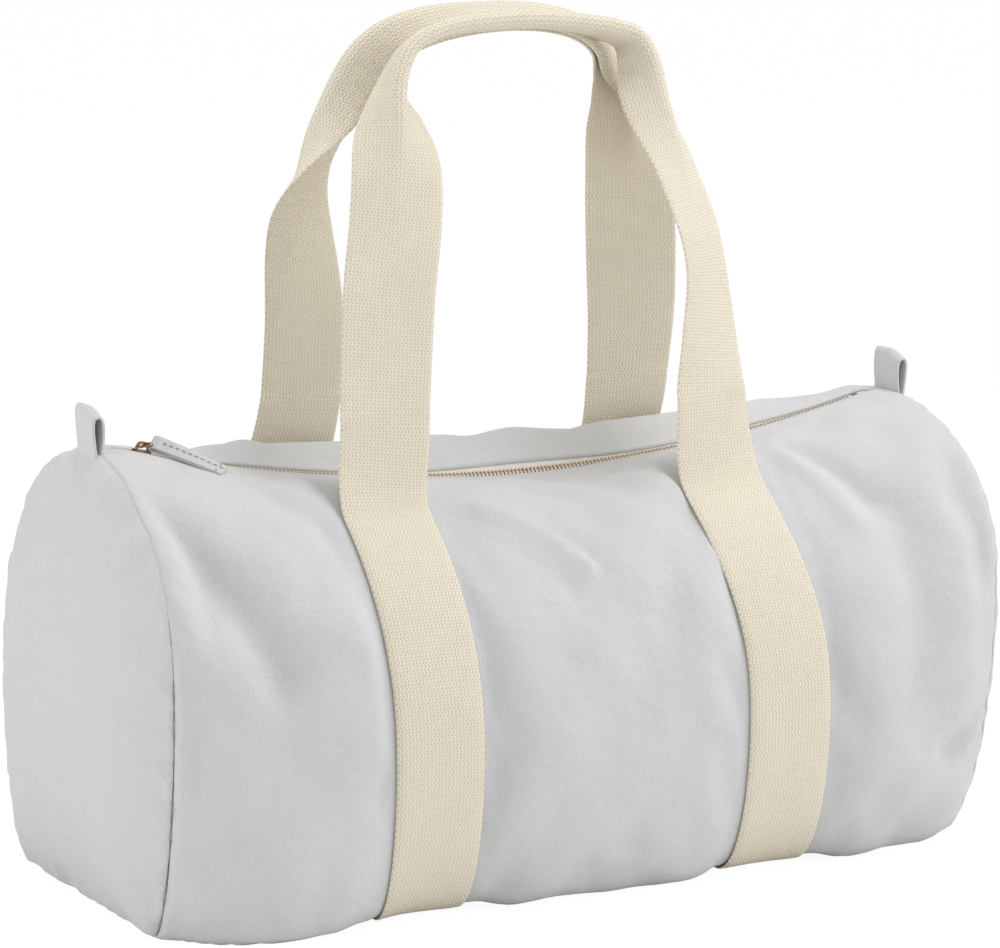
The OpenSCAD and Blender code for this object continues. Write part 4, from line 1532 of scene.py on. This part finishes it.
def end_tab(side, name, lean):
    """A strip of folded canvas whose foot is caught in the seam. Its inner leaf bulges toward the bag."""
    rows, run = flowing([(-side * x * MM, 0, z * MM) for x, z in END_TAB_LINE], END_TAB_STEP)
    u = np.linspace(-1, 1, END_TAB_COLS)
    grid = np.zeros((len(rows), len(u), 3))
    for k, c in enumerate(u):
        open_share = 1 - END_TAB_CLOSING * smooth((c + 1) / 2)
        x = rows[:, 0] * open_share + side * lean * rows[:, 2]
        y = np.full(len(rows), c * END_TAB_W / 2 + END_TAB_SHIFT)
        foot_z = -END_TAB_FRONT_DROP * np.clip(-c, 0, 1) ** 1.5 - END_TAB_SUNK
        grid[:, k] = np.stack([x, y, rows[:, 2] + foot_z], -1)
    grid += [side * BAG_LENGTH / 2, 0, END_FOOT_Z]
    uv = spread(u[None] * END_TAB_W / 2, run[:, None])
    grid, uv = (grid, uv) if side < 0 else (grid[:, ::-1], uv[:, ::-1])
    return shell(name, grid, uv, END_TAB_T, CANVAS)


for side, label, lean in ((-1, "left", 0.02), (1, "right", 0.05)):
    fitted(end_tab(side, f"{label}_end_tab", lean), f"{label}_tab", "bag")


# Seam bindings inside the ends

SEAM_MID = 0.0014
SEAM_CRINKLE = 0.0004

# The fold's outline: how far it stands from the middle of the seam along the bag, and how deep it is
# under the outer surface, in millimetres
BINDING_OUTLINE = ((-1.0, 2.8), (-1.0, 4.5), (-1.1, 7.2), (-0.7, 8.6), (0, 9.1), (0.7, 8.6), (1.1, 7.2),
                   (1.0, 4.5), (1.0, 2.8))


def seam_binding(side, name):
    """Folded tape over the two raw edges of the end seam."""
    x_mid = side * (BAG_LENGTH / 2 - SEAM_MID)
    ring, run = spaced(whole_section(side * BAG_LENGTH / 2, SLOT_HALF + TAPE_W), 240)
    within = inward(ring)
    crinkle = SEAM_CRINKLE * waves(run, 41 + side, 0.05, 0.012)
    outline = np.array(BINDING_OUTLINE) * MM
    rings = []
    for k in range(len(ring)):
        rings.append([(x_mid + a + crinkle[k], *(ring[k] + within[k] * d)) for a, d in outline])
    uv = spread(run[:, None], outline[None, :, 1])
    return tube_between(name, rings, TAPE, uv)


for side, label in ((-1, "left"), (1, "right")):
    fitted(seam_binding(side, f"{label}_bound_seam"), f"{label}_seam_binding", "bag")


# Stage

FLOOR_SIZE = 80.0
FLOOR_SEEN = 0.9
FLOOR_WHITE = 1.05
WORLD_LIGHT = 0.55
AIM = (0.0, 0.0, 0.16)

# Each lamp's place, its two sizes and its watts
LAMPS = {
    "top": ((0.6, -0.10, 2.2), (1.8, 1.2), 22.0),
    "key": ((2.3, -2.1, 1.0), (2.8, 2.0), 31.0),
    "side": ((-2.6, 0.3, 0.9), (1.2, 1.2), 20.0),
}
CAMERA_PLACE = (-1.0318, -1.9344, 0.5685)
CAMERA_AHEAD = (0.46272, 0.87207, -0.15933)
CAMERA_RIGHT = (0.88335, -0.46871, 0.0)
CAMERA_LENS = 144.0
SENSOR_WIDTH = 36.0


def seen_directly(tree):
    """One where the camera or a reflection sees a surface or the air, zero where it only gives light."""
    path = tree.nodes.new("ShaderNodeLightPath")
    share = path.outputs["Is Camera Ray"]
    for kind in ("Is Glossy Ray", "Is Transmission Ray"):
        either = tree.nodes.new("ShaderNodeMath")
        either.operation = "MAXIMUM"
        tree.links.new(share, either.inputs[0])
        tree.links.new(path.outputs[kind], either.inputs[1])
        share = either.outputs[0]
    return share


def floor_material():
    """A white floor that the camera, metal and glass see as white, with the object's soft shadow on it."""
    n = Nodes("white_floor")
    n.set(color=(0.9, 0.9, 0.9, 1), roughness=0.9, specular=0.0)
    white = n.add("ShaderNodeEmission", {"Color": (1, 1, 1, 1), "Strength": FLOOR_WHITE})
    share = n.math("MULTIPLY", seen_directly(n.tree), FLOOR_SEEN)
    both = n.add("ShaderNodeMixShader", {0: share, 1: n.shader.outputs[0], 2: white.outputs[0]})
    n.tree.links.new(both.outputs[0], n.output.inputs["Surface"])
    return n.material


def stage():
    half = FLOOR_SIZE / 2
    corners = [(-half, -half, 0), (half, -half, 0), (half, half, 0), (-half, half, 0)]
    floor = mesh_object("studio_floor", corners, [(0, 1, 2, 3)], None, floor_material(), flat=True)


def world():
    """Soft light from all round, which is white where it is seen."""
    made = bpy.data.worlds.new("studio_air")
    bpy.context.scene.world = made
    made.use_nodes = True
    tree = made.node_tree
    lit = tree.nodes["Background"]
    lit.inputs["Color"].default_value = (1, 1, 1, 1)
    lit.inputs["Strength"].default_value = WORLD_LIGHT
    seen = tree.nodes.new("ShaderNodeBackground")
    seen.inputs["Strength"].default_value = 1.0
    both = tree.nodes.new("ShaderNodeMixShader")
    tree.links.new(seen_directly(tree), both.inputs[0])
    tree.links.new(lit.outputs[0], both.inputs[1])
    tree.links.new(seen.outputs[0], both.inputs[2])
    tree.links.new(both.outputs[0], tree.nodes["World Output"].inputs["Surface"])


def softbox(name, place, size, power):
    lamp = bpy.data.lights.new(name, "AREA")
    lamp.shape = "RECTANGLE"
    lamp.size, lamp.size_y = size
    lamp.energy = power
    holder = in_scene(name, lamp)
    holder.location = place
    holder.rotation_euler = (Vector(AIM) - Vector(place)).to_track_quat("-Z", "Y").to_euler()


def camera():
    """The camera at the photograph's angle."""
    data = bpy.data.cameras.new("photo_camera")
    data.sensor_width = SENSOR_WIDTH
    data.lens = CAMERA_LENS
    data.clip_start, data.clip_end = 0.05, 50.0
    holder = in_scene("photo_camera", data)
    ahead, right = Vector(CAMERA_AHEAD).normalized(), Vector(CAMERA_RIGHT).normalized()
    up = right.cross(ahead)
    turn = Matrix((right, up, -ahead)).transposed().to_4x4()
    holder.matrix_world = Matrix.Translation(CAMERA_PLACE) @ turn
    bpy.context.scene.camera = holder


stage()
world()
for lamp, values in LAMPS.items():
    softbox(lamp, *values)
camera()
bpy.context.scene.view_settings.view_transform = "Standard"
